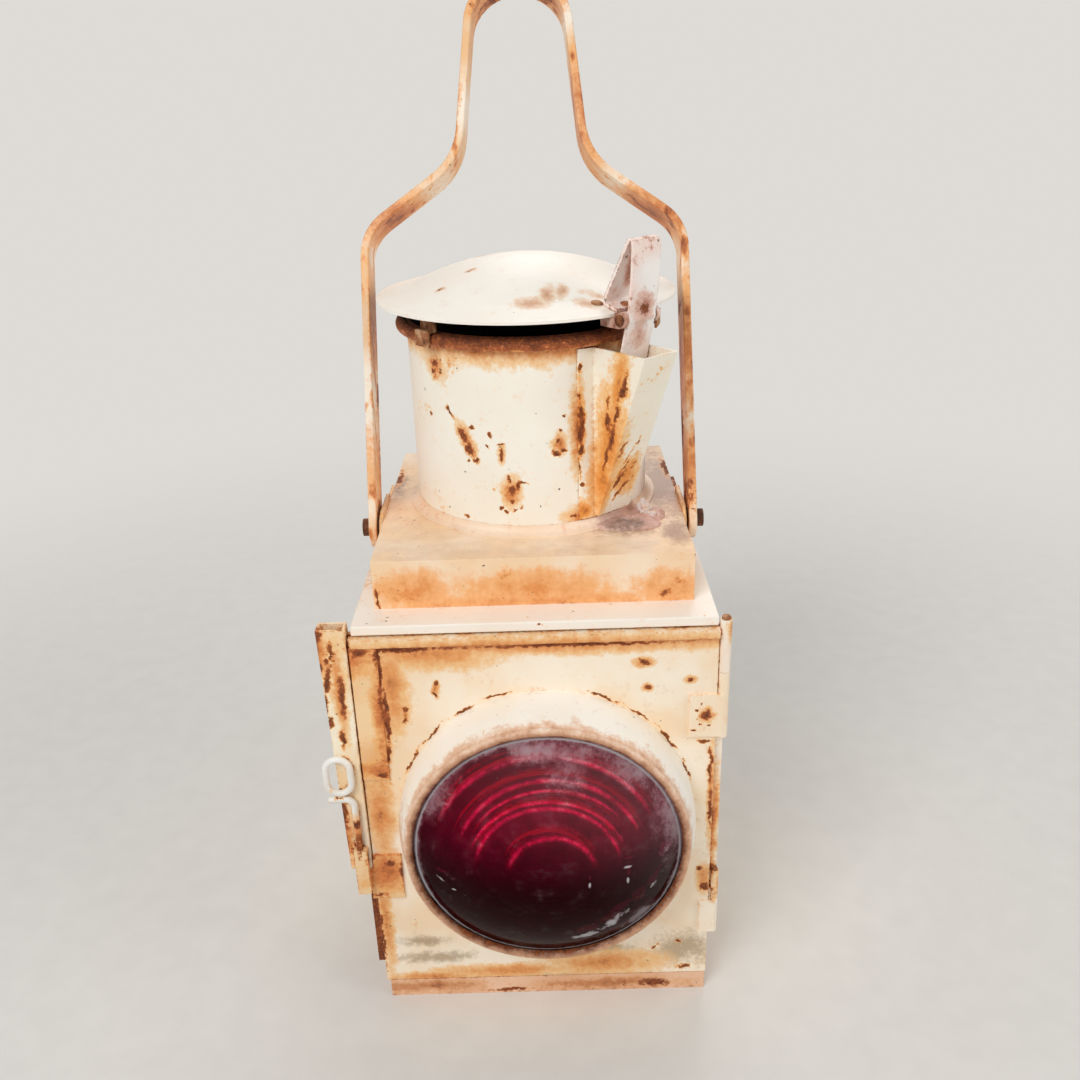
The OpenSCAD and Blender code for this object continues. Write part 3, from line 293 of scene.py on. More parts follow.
def stain_share(tree, grain, tan, streak, crumble, ring):
    """How deep rust has stained the paint: in tan spots, in drips and in the ring round bare rust."""
    soft = patches(tree, grain.where, tan)
    soft = reckon(tree, "ADD", between(tree, grain.drip, 0.52, 0.78, 0.0, streak), soft)
    soft = reckon(tree, "MULTIPLY_ADD", grain.blotch, 0.9 * crumble, soft)
    soft = reckon(tree, "MULTIPLY_ADD", grain.fine, 0.4 * crumble, soft)
    soft = reckon(tree, "SUBTRACT", soft, 0.65 * crumble)
    return reckon(tree, "MULTIPLY_ADD", ring, 0.62, soft)


def pits(tree, grain, ring, speckle):
    """Small dark pits in the paint, more of them in clouds and near bare rust."""
    away, chance = cells(tree, grain.where, 4.4)
    dot = reckon(tree, "MULTIPLY_ADD", chance, 0.30, -0.36 + speckle * 0.08)
    dot = reckon(tree, "MULTIPLY_ADD", grain.cloud, 0.26, dot)
    dot = reckon(tree, "MULTIPLY_ADD", ring, 0.06, dot)
    dot = reckon(tree, "SUBTRACT", dot, away)
    return between(tree, dot, 0.0, 0.02, 0.0, 0.85)


def inner_faces(tree, mm, axis):
    """1 on faces that look towards an upright axis, given as x and y in mm, from 30 mm away."""
    spoke = put(tree, "VectorMath", {0: mm, 1: (axis[0], axis[1], 0)}, operation="SUBTRACT")
    spoke = put(tree, "VectorMath", {0: spoke, 1: (1, 1, 0)}, operation="MULTIPLY")
    own_normal = put(tree, "TexCoord", take="Normal")
    outward = put(tree, "VectorMath", {0: spoke, 1: own_normal}, take="Value", operation="DOT_PRODUCT")
    return between(tree, outward, -12, -30)


def coat_relief(tree, grain, core, dot):
    """The skin of the coat: slow waves of the brush, pits, and rough rust that lies lower."""
    film = reckon(tree, "MULTIPLY", core, -0.22)
    rough_grain = reckon(tree, "MULTIPLY_ADD", core, 0.34, 0.03)
    film = reckon(tree, "MULTIPLY_ADD", grain.fine, rough_grain, film)
    film = reckon(tree, "MULTIPLY_ADD", dot, -0.10, film)
    film = reckon(tree, "MULTIPLY_ADD", grain.cloud, 0.9, film)
    return put(tree, "Bump", {"Height": film, "Distance": 1.0 * MM, "Strength": 0.9})


RUST_SCALE = [(0.46, "#35180e"), (0.60, "#663015"), (0.74, "#8e481f"), (0.94, "#b26a32")]


def old_paint(name, coat, aged, tan=(), bare=(), grime=(), soot=(), worn_edge=0.75, seam=0.7,
              speckle=0.5, mottle=0.35, streak=0.25, dust=0.0, under=0.0, glow="#f9cd92",
              stain="#e58e42", deep="#a04a1d", dirt="#8f7c62", crumble=1.0):
    """Brushed oil paint on sheet steel with rust stain, bare rust, grime, dust, soot and painted shade
    below.
    The spots of tan, bare and grime are in mm, soot is the axis of a shell that is black inside, and under
    darkens faces that look down as painted shade."""
    material, tree, mm = new_material(name)
    grain = coat_grain(tree, mm)
    rust = rust_share(tree, grain, bare, worn_edge, seam, speckle)
    core = between(tree, rust, 0.50, 0.57)
    ring = between(tree, rust, 0.14, 0.56)
    soft = stain_share(tree, grain, tan, streak, crumble, ring)

    tone = between(tree, grain.cloud, 0.38, 0.66, 0.0, mottle)
    colour = blend(tree, tone, linear(coat), linear(aged))
    if grime:
        film = patches(tree, grain.where, grime)
        film = reckon(tree, "MULTIPLY_ADD", grain.blotch, 1.2, film)
        film = reckon(tree, "MULTIPLY_ADD", grain.fine, 0.5, film)
        colour = blend(tree, between(tree, film, 0.95, 1.7, 0.0, 0.85), colour, linear(dirt))
    for low, high, shade in ((0.05, 0.42, glow), (0.34, 0.78, stain), (0.72, 1.15, deep)):
        colour = blend(tree, between(tree, soft, low, high, 0.0, 0.9), colour, linear(shade))
    dot = pits(tree, grain, ring, speckle)
    colour = blend(tree, dot, colour, linear("#57371f"))
    crumb = reckon(tree, "MULTIPLY_ADD", grain.grit, 0.35, grain.fine)
    colour = blend(tree, core, colour, put(tree, "ValToRGB", {"Fac": crumb}, stops=RUST_SCALE))

    if dust or under:
        faces_up = put(tree, "SeparateXYZ", {0: put(tree, "TexCoord", take="Normal")}, take="Z")
    if dust:
        lying = between(tree, faces_up, 0.55, 0.98)
        lying = reckon(tree, "MULTIPLY", lying, between(tree, grain.blotch, 0.30, 0.68))
        lying = reckon(tree, "MULTIPLY", lying, dust)
        colour = blend(tree, lying, colour, linear("#b58a70"))
    # Faces that look down are painted dark by the share under: painted shade beneath the piece.
    if under:
        colour = blend(tree, between(tree, faces_up, -0.2, -0.6, 0.0, under), colour, linear("#33241b"))
    dull = reckon(tree, "MULTIPLY_ADD", core, 0.36, 0.46)
    if soot:
        black = inner_faces(tree, mm, soot)
        colour = blend(tree, black, colour, linear("#241812"))
        dull = reckon(tree, "MULTIPLY_ADD", black, 0.4, dull, use_clamp=True)

    paint = put(tree, "BsdfPrincipled", {
        "Base Color": colour, "Roughness": dull, "Normal": coat_relief(tree, grain, core, dot), "IOR": 1.5,
    })
    put(tree, "OutputMaterial", {"Surface": paint})
    return material


def shaped_edges():
    """A modifier tree that joins the corners of a CAD mesh and shades it smooth up to 32 degrees."""
    group = bpy.data.node_groups.new("shaped_edges", "GeometryNodeTree")
    group.interface.new_socket("Geometry", in_out="INPUT", socket_type="NodeSocketGeometry")
    group.interface.new_socket("Geometry", in_out="OUTPUT", socket_type="NodeSocketGeometry")
    start, end = group.nodes.new("NodeGroupInput"), group.nodes.new("NodeGroupOutput")
    plain = group.nodes.new("GeometryNodeRemoveAttribute")
    plain.inputs["Name"].default_value = "custom_normal"
    weld = group.nodes.new("GeometryNodeMergeByDistance")
    weld.inputs["Distance"].default_value = 0.004 * MM
    smooth = group.nodes.new("GeometryNodeSetShadeSmooth")
    angle = group.nodes.new("GeometryNodeInputMeshEdgeAngle")
    steep = group.nodes.new("FunctionNodeCompare")
    steep.inputs[1].default_value = FOLD_ANGLE
    sharp = group.nodes.new("GeometryNodeSetShadeSmooth")
    sharp.domain = "EDGE"
    sharp.inputs["Shade Smooth"].default_value = False
    for a, b in ((start.outputs[0], plain.inputs[0]), (plain.outputs[0], weld.inputs[0]),
                 (weld.outputs[0], smooth.inputs[0]), (smooth.outputs[0], sharp.inputs[0]),
                 (angle.outputs[0], steep.inputs[0]), (steep.outputs[0], sharp.inputs["Selection"]),
                 (sharp.outputs[0], end.inputs[0])):
        group.links.new(a, b)
    return group


FOLD_ANGLE = math.radians(32)
FLAT_ANGLE = math.radians(0.4)
WELDED = shaped_edges()


def finish_node(name, material, radius=0.0):
    """Gives a CAD node its material and, where its edges are folded or worn, their radius in mm."""
    piece = nodes[name]
    piece.data.materials.clear()
    piece.data.materials.append(material)
    if radius:
        piece.modifiers.new("welded", "NODES").node_group = WELDED
        flat = piece.modifiers.new("flat", "DECIMATE")
        flat.decimate_type = "DISSOLVE"
        flat.angle_limit = FLAT_ANGLE
        rounding = piece.modifiers.new("rounded", "BEVEL")
        rounding.width = radius * MM
        rounding.segments = 3
        rounding.limit_method = "ANGLE"
        rounding.angle_limit = FOLD_ANGLE
        rounding.harden_normals = True


case_paint = old_paint(
    "cream_lead_paint_on_case", "#fdf1d9", "#f7d9a8", worn_edge=0.6, seam=0.6, speckle=0.45, streak=0.3,
    tan=[(0, 0, 9, 900, 900, 13), (-83, -80, 100, 8, 14, 110), (83, -60, 120, 14, 26, 110),
         (-83, -40, 205, 8, 5, 26), (-83, 12, 200, 8, 4, 36), (-83, 52, 208, 8, 6, 24),
         (83, 18, 203, 8, 5, 32), (83, 62, 208, 8, 5, 22), (-56, 84, 204, 5, 8, 30),
         (28, 84, 208, 7, 8, 24), (62, 84, 198, 4, 8, 34), (-36, 84, 76, 4, 8, 26),
         (36, 84, 70, 4, 8, 30), (0, 84, 84, 30, 8, 8), (0, 84, 219, 130, 130, 6)],
    bare=[(0, 0, 9, 900, 900, 6), (-83, -60, 30, 9, 26, 26), (60, -85, 4, 16, 6, 5),
          (-66, -84, 60, 5, 6, 4), (-83, 12, 214, 5, 1.8, 8), (83, 18, 212, 5, 1.6, 9),
          (-56, 84, 213, 1.8, 5, 8), (-36, 84, 86, 1.8, 5, 5), (36, 84, 84, 1.8, 5, 7),
          (83, 66, 30, 6, 14, 26), (-70, 84, 28, 14, 6, 22)],
    soot=(0, 0))
pan_paint = old_paint(
    "pinkish_tan_paint_on_pan", "#f2c8a8", "#e2a880", worn_edge=0.5, seam=0.6, speckle=0.6, mottle=0.8,
    glow="#e8b184", stain="#c9814c", deep="#8a4a2c",
    tan=[(-60, -85, 6, 40, 8, 7), (30, -85, 5, 60, 8, 6)],
    bare=[(57, -85, 4, 12, 6, 4.5), (-20, -85, 2, 16, 6, 2), (-84, -40, 3, 6, 30, 3),
          (84, 20, 3, 6, 30, 3)])
finish_node("base_pan", pan_paint, 0.7)
finish_node("case_shell", case_paint, 0.6)


# Front frame, hinge leaf and the narrow channel beside the door: offcuts of the same sheet
# lapped on the shell. Their raw edges were hardly painted, so they are the rustiest parts.
frame_paint = old_paint(
    "stained_paint_on_frame", "#f8e0b8", "#eabf80", worn_edge=0.7, seam=0.75, speckle=0.8, mottle=0.8,
    tan=[(-86, -82, 50, 16, 12, 70), (84, -82, 120, 9, 12, 110)],
    bare=[(-86.5, -82, 26, 9, 10, 26), (-88, -82, 60, 9, 10, 40), (-88, -80, 84, 9, 8, 14)])
leaf_paint = old_paint(
    "cream_paint_on_hinge_leaf", "#fff6e6", "#f8dfc8", worn_edge=0.3, seam=0.65, speckle=0.6, mottle=0.7,
    tan=[(90, -84, 216, 6, 8, 9), (84, -82, 104, 4, 10, 50), (88, -82, 70, 5, 10, 16)],
    bare=[(82, -84, 146, 1.6, 4, 12), (82.5, -84, 112, 1.7, 4, 34), (83, -82, 78, 3, 5, 4),
          (84, -82, 66, 3, 5, 3.4), (90, -86, 200, 2, 3, 3)])
channel_paint = old_paint(
    "flaking_paint_on_channel", "#fef2d8", "#f5bd72", worn_edge=0.75, seam=0.8, speckle=1.0, mottle=0.6,
    tan=[(-97, -87, 214, 7, 10, 22), (-90, -87, 190, 5, 12, 44), (-96, -87, 106, 8, 12, 30),
         (-100, -87, 180, 3, 9, 60)],
    bare=[(-98, -87, 219, 5, 8, 5), (-92, -87, 210, 2.4, 6, 10), (-95, -87, 196, 2.4, 6, 12, 14),
          (-97, -87, 184, 2.0, 6, 8), (-89, -87, 188, 2.2, 6, 16), (-96, -87, 174, 1.8, 6, 6),
          (-91, -87, 164, 2.2, 6, 7), (-95, -87, 122, 3.0, 8, 16), (-91, -87, 98, 3.6, 8, 12),
          (-98, -87, 150, 1.6, 6, 8), (-94, -87, 206, 1.8, 6, 3), (-98, -87, 203, 1.8, 6, 5)])
finish_node("front_frame", frame_paint, 0.3)
finish_node("case_hinge_leaf", leaf_paint)
finish_node("side_channel", channel_paint, 0.35)


# Lid and upper box: the lid is a shallow pan, the box above it a square drum with folded
# edges. Water from the chimney has stained the box peach and its front face orange.
lid_paint = old_paint(
    "cream_lead_paint_on_lid", "#fef6ea", "#fbe8d4", worn_edge=0.2, seam=0.4, speckle=0.6, streak=0.0,
    glow="#f8d4b0", stain="#dba070", deep="#985030",
    tan=[(0, -88, 214.5, 95, 7, 3), (84, 0, 218, 6, 90, 5), (-84, -40, 219, 5, 60, 5)],
    bare=[(-3, -80, 221, 2.6, 2.2, 2), (2, -84, 221, 2, 1.6, 2), (22, -80, 221, 2, 1.6, 2),
          (-80, 66, 222, 6, 7, 3), (60, -88, 216.5, 14, 2, 1.2), (76, -82, 221, 2.4, 2, 2)])
box_paint = old_paint(
    "peach_stained_paint_on_box", "#fde6ca", "#f9cf9e", crumble=0.45, worn_edge=0.15, seam=0.4,
    speckle=0.6, mottle=0.7, streak=0.15, dust=0.2, glow="#f8b472", stain="#e58f46", deep="#b4673a",
    tan=[(-56, -70, 231, 30, 6, 15), (0, -70, 230, 60, 6, 15), (62, -70, 229, 26, 6, 15),
         (0, -70, 224, 95, 6, 8), (-74, 0, 230, 8, 70, 16), (74, 0, 230, 8, 70, 16)],
    bare=[(-72, -68, 226, 1.4, 4, 10), (60, -70, 226, 9, 4, 3, -26), (67, -70, 232, 7, 4, 2.4, -20),
          (52, -70, 221, 14, 4, 1.4), (72, 46, 246, 3, 26, 3), (-72, 40, 246, 3, 20, 3)],
    grime=[(68, 20, 246, 30, 80, 9), (42, -34, 247, 34, 18, 8), (68, -44, 246, 12, 22, 6),
           (-72, 30, 246, 8, 30, 6), (64, -70, 228, 22, 5, 12)],
    dirt="#ae8a76")
finish_node("lid", lid_paint, 0.7)
finish_node("upper_box", box_paint, 1.1)


# Chimney, its collar and the wedge pocket: the tube is rolled and lock-seamed with its mouth
# rolled over a wire. The roll has lost its paint, and rust has broken out in patches below it.
chimney_paint = old_paint(
    "cream_lead_paint_on_chimney", "#fff9ec", "#fbf0da", worn_edge=0.1, seam=0.6, speckle=0.6, mottle=0.4,
    streak=0.03,
    tan=[(0, 17, 337, 900, 900, 14), (-42, -24, 324, 8, 14, 9), (-29.5, -34, 292, 5, 9, 15, -28),
         (22, -37, 296, 5, 10, 34), (14, -40, 290, 5, 8, 8), (-9, -41, 267, 7, 9, 12),
         (-12.7, -41, 286, 3, 6, 7), (26, -37, 253, 16, 12, 8), (0, 17, 247, 150, 150, 3.4),
         (58, 20, 300, 12, 40, 30), (-40, 60, 300, 30, 16, 34)],
    bare=[(0, 17, 340.6, 900, 900, 8.4), (-42.2, -23.5, 325.2, 2.6, 5, 2.6),
          (-43.6, -21.6, 321.6, 1.5, 5, 1.5), (-40.4, -25.4, 321.0, 1.3, 5, 1.3),
          (-36.3, -28.8, 303.3, 1.8, 6, 6, -24), (-30.9, -32.6, 292.9, 2.1, 6, 5.4, -26),
          (-27.8, -34.6, 286.4, 3.0, 8, 5, -30), (-24.6, -36.1, 281.6, 2.2, 6, 2.6),
          (-28.6, -34, 281.0, 1.8, 6, 1.8), (-26.5, -35.4, 297.6, 1.7, 6, 1.7),
          (-17.9, -38.7, 295.3, 1.7, 6, 2.4), (-19.6, -38.1, 289.4, 2.0, 6, 1.8),
          (-12.9, -40, 290.8, 2.8, 6, 1.2), (-12.8, -40.1, 285.8, 1.2, 6, 5.4),
          (12.4, -40, 285.2, 2.8, 6, 2.2), (15.8, -39.6, 286.8, 2.2, 6, 1.8),
          (13.0, -40, 291.6, 1.5, 6, 1.4), (14.2, -39.9, 296.4, 1.4, 6, 1.3),
          (16.6, -39.1, 303.3, 1.5, 6, 1.2), (-8.8, -40.8, 268.6, 2.4, 6, 3.0),
          (-9.6, -41, 273.6, 1.5, 6, 3.0), (-6.2, -41, 270.6, 1.6, 6, 2.4),
          (-3.6, -41, 271.8, 3.4, 6, 1.1, 8), (-14.2, -40, 259.6, 1.7, 6, 1.6),
          (-12, -40, 257.4, 1.7, 6, 1.5), (-7.6, -41.1, 258.2, 1.8, 6, 1.8),
          (-4.9, -41.1, 259.8, 1.7, 6, 2.2), (-9, -41, 263, 1.5, 6, 1.2),
          (-31.7, -32.2, 252.4, 2.0, 6, 1.6), (20, -38, 253, 2.4, 6, 1.6), (-46, -18, 300, 1.4, 5, 1.4),
          (50, 40, 310, 12, 16, 14), (-30, 66, 296, 14, 14, 18), (20, 72, 262, 12, 10, 10)],
    soot=(0, 17))
pocket_paint = old_paint(
    "cream_lead_paint_on_pocket", "#fff8e8", "#faecd0", worn_edge=0.35, seam=1.0, speckle=0.7, mottle=0.4,
    streak=0.0, glow="#fbc377", stain="#ee9538", deep="#a9521c",
    tan=[(23.6, -38, 300, 3.6, 8, 28), (36, -44, 290, 11, 16, 50, 5), (33, -40, 272, 10, 14, 34, 6),
         (39.5, -47, 316, 7, 10, 36, 12), (24, -37, 256, 8, 8, 9), (46, -38, 270, 11, 16, 18)],
    bare=[(23.1, -38.1, 312, 1.7, 6, 3), (23.6, -38, 304, 2.3, 6, 5), (24.4, -37.9, 297, 2.5, 6, 6),
          (23.2, -37.9, 293, 2.5, 6, 6), (23.9, -37.9, 286, 2.5, 6, 5), (23.2, -38, 277, 1.5, 6, 7),
          (23.3, -38.1, 324.6, 1.7, 6, 3), (23.5, -38, 269, 1.4, 6, 2), (36.2, -43.4, 310, 1.3, 6, 7),
          (35.6, -43, 301, 1.7, 6, 8), (37.4, -44, 294, 1.3, 6, 8, 10), (34.8, -40, 282, 1.4, 6, 8, 12),
          (41.8, -49.5, 316, 1.6, 6, 14, 14), (39.4, -46.5, 304, 1.6, 6, 10, 12),
          (37.4, -43.6, 292, 1.4, 6, 9, 10), (42.5, -42, 288, 1.1, 6, 9, 30),
          (45.6, -41.5, 284, 1.1, 6, 9, 30), (44.0, -40, 277, 1.2, 6, 8, 30),
          (48.6, -39, 276, 1.2, 8, 9, 34), (41.0, -38, 270, 1.5, 8, 9, 34),
          (45.0, -36, 267, 1.5, 8, 8, 40), (50.5, -42, 290, 0.9, 8, 5, 30),
          (40, -36, 261, 2.0, 8, 5, 40)],
    grime=[(47, -40, 268, 14, 16, 22)],
    dirt="#d99c86")
collar_paint = old_paint(
    "peach_paint_on_solder_collar", "#fbe4cc", "#f5d2ae", worn_edge=0.05, seam=0.25, speckle=0.6,
    mottle=0.7, dust=0.15, glow="#f0bf98", stain="#cf8d62", deep="#96543c",
    bare=[(-50, -8, 247, 4, 6, 2)],
    grime=[(44, -26, 247, 34, 20, 8)],
    dirt="#cf9b8c")
finish_node("chimney", chimney_paint)
finish_node("chimney_collar", collar_paint)
finish_node("catch_pocket", pocket_paint, 0.25)

# The pocket's foot was filled by hand: a low mound of filler runs out on the deck to its
# right, with a torn crumb of it still standing against the chimney.
filler = old_paint(
    "dusty_pink_filler", "#e9c3b4", "#c99a8a", worn_edge=0.1, seam=0.4, speckle=1.2, mottle=0.9,
    streak=0.0, glow="#ddb2a0", stain="#b98a78", deep="#6e4a3c",
    grime=[(44, -36, 247, 16, 10, 6)],
    dirt="#6b5a50")
crumb_white = old_paint(
    "crumbling_white_filler", "#f6ebe6", "#dcc6be", worn_edge=0.2, seam=0.3, speckle=1.0, mottle=0.8,
    streak=0.0)

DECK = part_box("upper_box")[1][2] / MM


def lump(name, place, size, bite, crumb, material):
    """A hand-laid lump of filler: a ball pressed flat on the deck, its skin torn by noise. All in mm."""
    mesh = bmesh.new()
    bmesh.ops.create_icosphere(mesh, subdivisions=5, radius=1.0)
    for point in mesh.verts:
        out = point.co.normalized()
        spot = Vector([out[i] * size[i] for i in range(3)]) + Vector(place)
        torn = noise.fractal(spot / crumb, 0.9, 2.1, 5) * bite
        point.co = (Vector(place) + Vector([out[i] * (size[i] + torn) for i in range(3)])) * MM
        point.co.z = max(point.co.z, (DECK - 0.4) * MM)
    bmesh.ops.recalc_face_normals(mesh, faces=mesh.faces)
    for face in mesh.faces:
        face.smooth = True
    piece = bpy.data.objects.new(name, bpy.data.meshes.new(name))
    mesh.to_mesh(piece.data)
    mesh.free()
    piece.data.materials.append(material)
    bpy.context.scene.collection.objects.link(piece)
    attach(piece, "case")


lump("filler_mound", (45, -33, DECK), (17, 8.5, 2.6), 1.1, 5.0, filler)
lump("filler_mound_right", (56, -22, DECK), (9, 9, 2.0), 1.0, 4.0, filler)
lump("torn_filler", (54.5, -21, DECK + 2.6), (3.0, 2.6, 4.6), 2.2, 2.6, crumb_white)
lump("torn_filler_low", (57.5, -25, DECK + 0.8), (3.4, 2.4, 2.0), 1.4, 2.2, crumb_white)


# Pieces of bare steel: supports and hinge of the cap, pins, bolts and rivets. They are
# stamped or turned and never painted well, so they are brown rust all over.
def rusted_steel(name, dark="#2e1a11", middle="#6a3a1e", light="#a5683a", rough=0.8, relief=0.35):
    """Steel under an even crust of rust, with flakes of 5 mm and grit of 0.9 mm, painted darker in
    recesses as painted shade.
    """
    material, tree, mm = new_material(name)
    flake = uneven(tree, mm, 5, 6.0, 0.68)
    grit = uneven(tree, mm, 0.9, 3.0)
    open_sky = put(tree, "AmbientOcclusion", {"Distance": 6 * MM}, take="AO", samples=6)
    colour = put(tree, "ValToRGB", {"Fac": flake}, stops=[(0.34, dark), (0.50, middle), (0.68, light)])
    # Painted shade: the colour is darkened where ambient occlusion finds recesses.
    shade = between(tree, open_sky, 0.2, 0.8, 0.45, 1.0)
    feeds = {0: 1.0, 6: colour, 7: shade}
    colour = put(tree, "Mix", feeds, take=2, data_type="RGBA", blend_type="MULTIPLY")
    height = reckon(tree, "MULTIPLY_ADD", grit, 0.4, flake)
    bump = put(tree, "Bump", {"Height": height, "Distance": relief * MM, "Strength": 1.0})
    steel = put(tree, "BsdfPrincipled", {
        "Base Color": colour, "Roughness": rough, "Normal": bump, "IOR": 1.5,
    })
    put(tree, "OutputMaterial", {"Surface": steel})
    return material


brown_rust = rusted_steel("brown_rust_on_bare_steel")
pale_rust = rusted_steel("rust_and_paint_traces_on_steel", "#5a3420", "#a5673c", "#d9b48c")
for name in ("cap_hinge_fixed_leaf", "cap_hinge_pin"):
    finish_node(name, brown_rust)
finish_node("door_hinge_pin", pale_rust)
finish_node("cap_supports", pale_rust, 0.3)
finish_node("case_rivets", pale_rust)
finish_node("handle_bolts", brown_rust)


# Handle brackets and the socket on the back: folded strips riveted on before painting.
bracket_paint = old_paint(
    "rusted_paint_on_brackets", "#e8c79c", "#cf9a62", worn_edge=0.95, seam=0.9, speckle=0.9, mottle=0.9,
    tan=[(-76, 8, 240, 12, 40, 12), (76, 8, 240, 12, 40, 16)],
    bare=[(76, -13, 238, 6, 9, 9), (76, 26, 244, 6, 22, 5), (-76, -13, 246, 6, 9, 5)])
finish_node("handle_brackets", bracket_paint, 0.3)
finish_node("rear_socket", case_paint, 0.5)


# Oil vessel and burner inside the case: tinned plate gone grey, and brass that heat and
# paraffin have turned brown. They are lifted out through the front door.
def plain_metal(name, dark, light, metallic, rough, grain_mm):
    """Uncoated metal with a dull film, its tone and gloss varied by a grain of the given size."""
    material, tree, mm = new_material(name)
    film = uneven(tree, mm, 14, 4.0)
    grain = uneven(tree, mm, grain_mm, 4.0)
    mixed = reckon(tree, "MULTIPLY_ADD", grain, 0.35, film)
    colour = put(tree, "ValToRGB", {"Fac": mixed}, stops=[(0.45, dark), (0.9, light)])
    gloss = between(tree, mixed, 0.4, 0.95, rough + 0.18, rough)
    bump = put(tree, "Bump", {"Height": grain, "Distance": 0.06 * MM, "Strength": 1.0})
    metal = put(tree, "BsdfPrincipled", {
        "Base Color": colour, "Metallic": metallic, "Roughness": gloss, "Normal": bump,
    })
    put(tree, "OutputMaterial", {"Surface": metal})
    return material


tinplate = plain_metal("dull_tinplate", "#6f6a62", "#a9a49a", 0.9, 0.42, 2.0)
brass = plain_metal("heat_browned_brass", "#5a3f1c", "#b08a48", 1.0, 0.36, 1.2)
blued = plain_metal("blued_spring_steel", "#24262a", "#4a4d52", 1.0, 0.40, 1.0)
for name in ("vessel_guides", "oil_vessel"):
    finish_node(name, tinplate, 0.3)
for name in ("filler_cap", "burner_collar", "burner_gallery", "burner_cone", "winder_knob"):
    finish_node(name, brass)
finish_node("wick_tube", brass, 0.15)
finish_node("winder_shaft", blued)
finish_node("winder_wheels", blued)

# Wick: a flat plait of cotton, charred black over the top of its tube.
TUBE_TOP = 104
cotton, tree, mm = new_material("charred_cotton_plait")
slant = put(tree, "Mapping", {"Vector": mm, "Rotation": (0, math.radians(35), 0)})
yarn = put(tree, "TexWave", {"Vector": slant, "Scale": 0.35, "Distortion": 1.5, "Detail": 2.0}, take="Fac")
height = put(tree, "SeparateXYZ", {0: mm}, take="Z")
tip = between(tree, height, TUBE_TOP - 3, TUBE_TOP + 1)
colour = put(tree, "ValToRGB", {"Fac": yarn}, stops=[(0.2, "#8d7c60"), (0.8, "#cfc0a0")])
colour = blend(tree, tip, colour, linear("#15100d"))
bump = put(tree, "Bump", {"Height": yarn, "Distance": 0.3 * MM, "Strength": 1.0})
plait = put(tree, "BsdfPrincipled", {"Base Color": colour, "Roughness": 0.95, "Normal": bump})
put(tree, "OutputMaterial", {"Surface": plait})
finish_node("wick", cotton)


# Door: a sheet with hemmed edges that carries the lens, hung on a pin at the right. The
# weather runs down it from the rain lip, so its edges and its plates are stained the most.
LENS_X, LENS_Z = 2.8, 116

# Rust has crept out in short arcs along the seam round the bezel's foot.
SEAM_R = 71.6
bezel_seam = []
for degrees in (-62, -47, -32, -17, 22, 38, 54, 70):
    seam_x = LENS_X + SEAM_R * math.sin(math.radians(degrees))
    seam_z = LENS_Z + SEAM_R * math.cos(math.radians(degrees))
    bezel_seam.append((seam_x, -85, seam_z, 13, 3, 1.1, degrees))

door_paint = old_paint(
    "cream_lead_paint_on_door", "#fff2de", "#fbdcb4", worn_edge=0.45, seam=0.5, speckle=0.45, mottle=0.8,
    streak=0.05, crumble=0.75, glow="#f6c383", stain="#e6954e",
    tan=[(0, -86, 211, 200, 8, 8), (0, -90, 215, 200, 4, 4), (-46, -86, 207, 46, 8, 11),
         (-78, -86, 192, 10, 6, 24), (-71, -86, 178, 6, 6, 38), (-78, -86, 120, 10, 6, 40),
         (82, -86, 128, 3, 6, 44), (80, -86, 74, 6, 6, 13), (30, -86, 20, 46, 6, 12),
         (-60, -86, 13, 40, 6, 5), (-81, -86, 50, 5, 6, 50), (-61.4, -86, 175.4, 3.4, 5, 6),
         (-46, -86, 188.8, 3, 5, 6), (49, -86, 200.4, 7, 6, 4), (50.5, -86, 186.4, 4, 6, 3.6),
         (70.5, -86, 190.4, 4, 6, 3), (-66, -86, 190, 11, 6, 36), (-20, -86, 16, 60, 6, 7)],
    bare=[(-72, -85, 206, 2.6, 3, 8), (-71.3, -85, 194.7, 1.9, 3, 12), (-70, -85, 182, 1.7, 3, 12),
          (-69.8, -85, 168, 1.9, 3, 12), (-71, -85, 154, 2.0, 3, 8), (-74, -85, 143.5, 6, 3, 1.8),
          (-60, -85, 210.2, 30, 3, 1.8), (20, -85, 210.2, 70, 3, 1.3), (-61.2, -85, 178.3, 1.9, 3, 1.9),
          (-61.3, -85, 172.2, 2.0, 3, 2.1), (-45.5, -85, 191.7, 1.7, 3, 1.7),
          (-46.3, -85, 185.9, 1.6, 3, 1.4), (49.4, -85, 200.6, 5.2, 3, 1.2, 29),
          (50.5, -85, 186.3, 1.9, 3, 1.8), (70.5, -85, 190.4, 1.8, 3, 1.5), (81.2, -85, 142, 1.5, 3, 16),
          (82.1, -85, 118, 1.5, 3, 18), (80.4, -85, 69.0, 3.8, 3, 3.6), (78, -85, 80.6, 2.6, 3, 2.6),
          (78, -85, 156.3, 5, 3, 1.4), (56.8, -85, 30.4, 4.6, 3, 2.2, -30), (68.2, -85, 33, 2.6, 3, 1.6),
          (72.2, -85, 16, 7, 3, 3), (-84, -84, 36, 1.6, 5, 36)] + bezel_seam,
    grime=[(-64, -86, 38, 22, 6, 6), (-58, -86, 27, 34, 6, 6), (30, -86, 30, 24, 6, 5),
           (-10, -86, 12, 90, 6, 3), (72, -86, 28, 26, 6, 18)],
    dirt="#b29a7a")
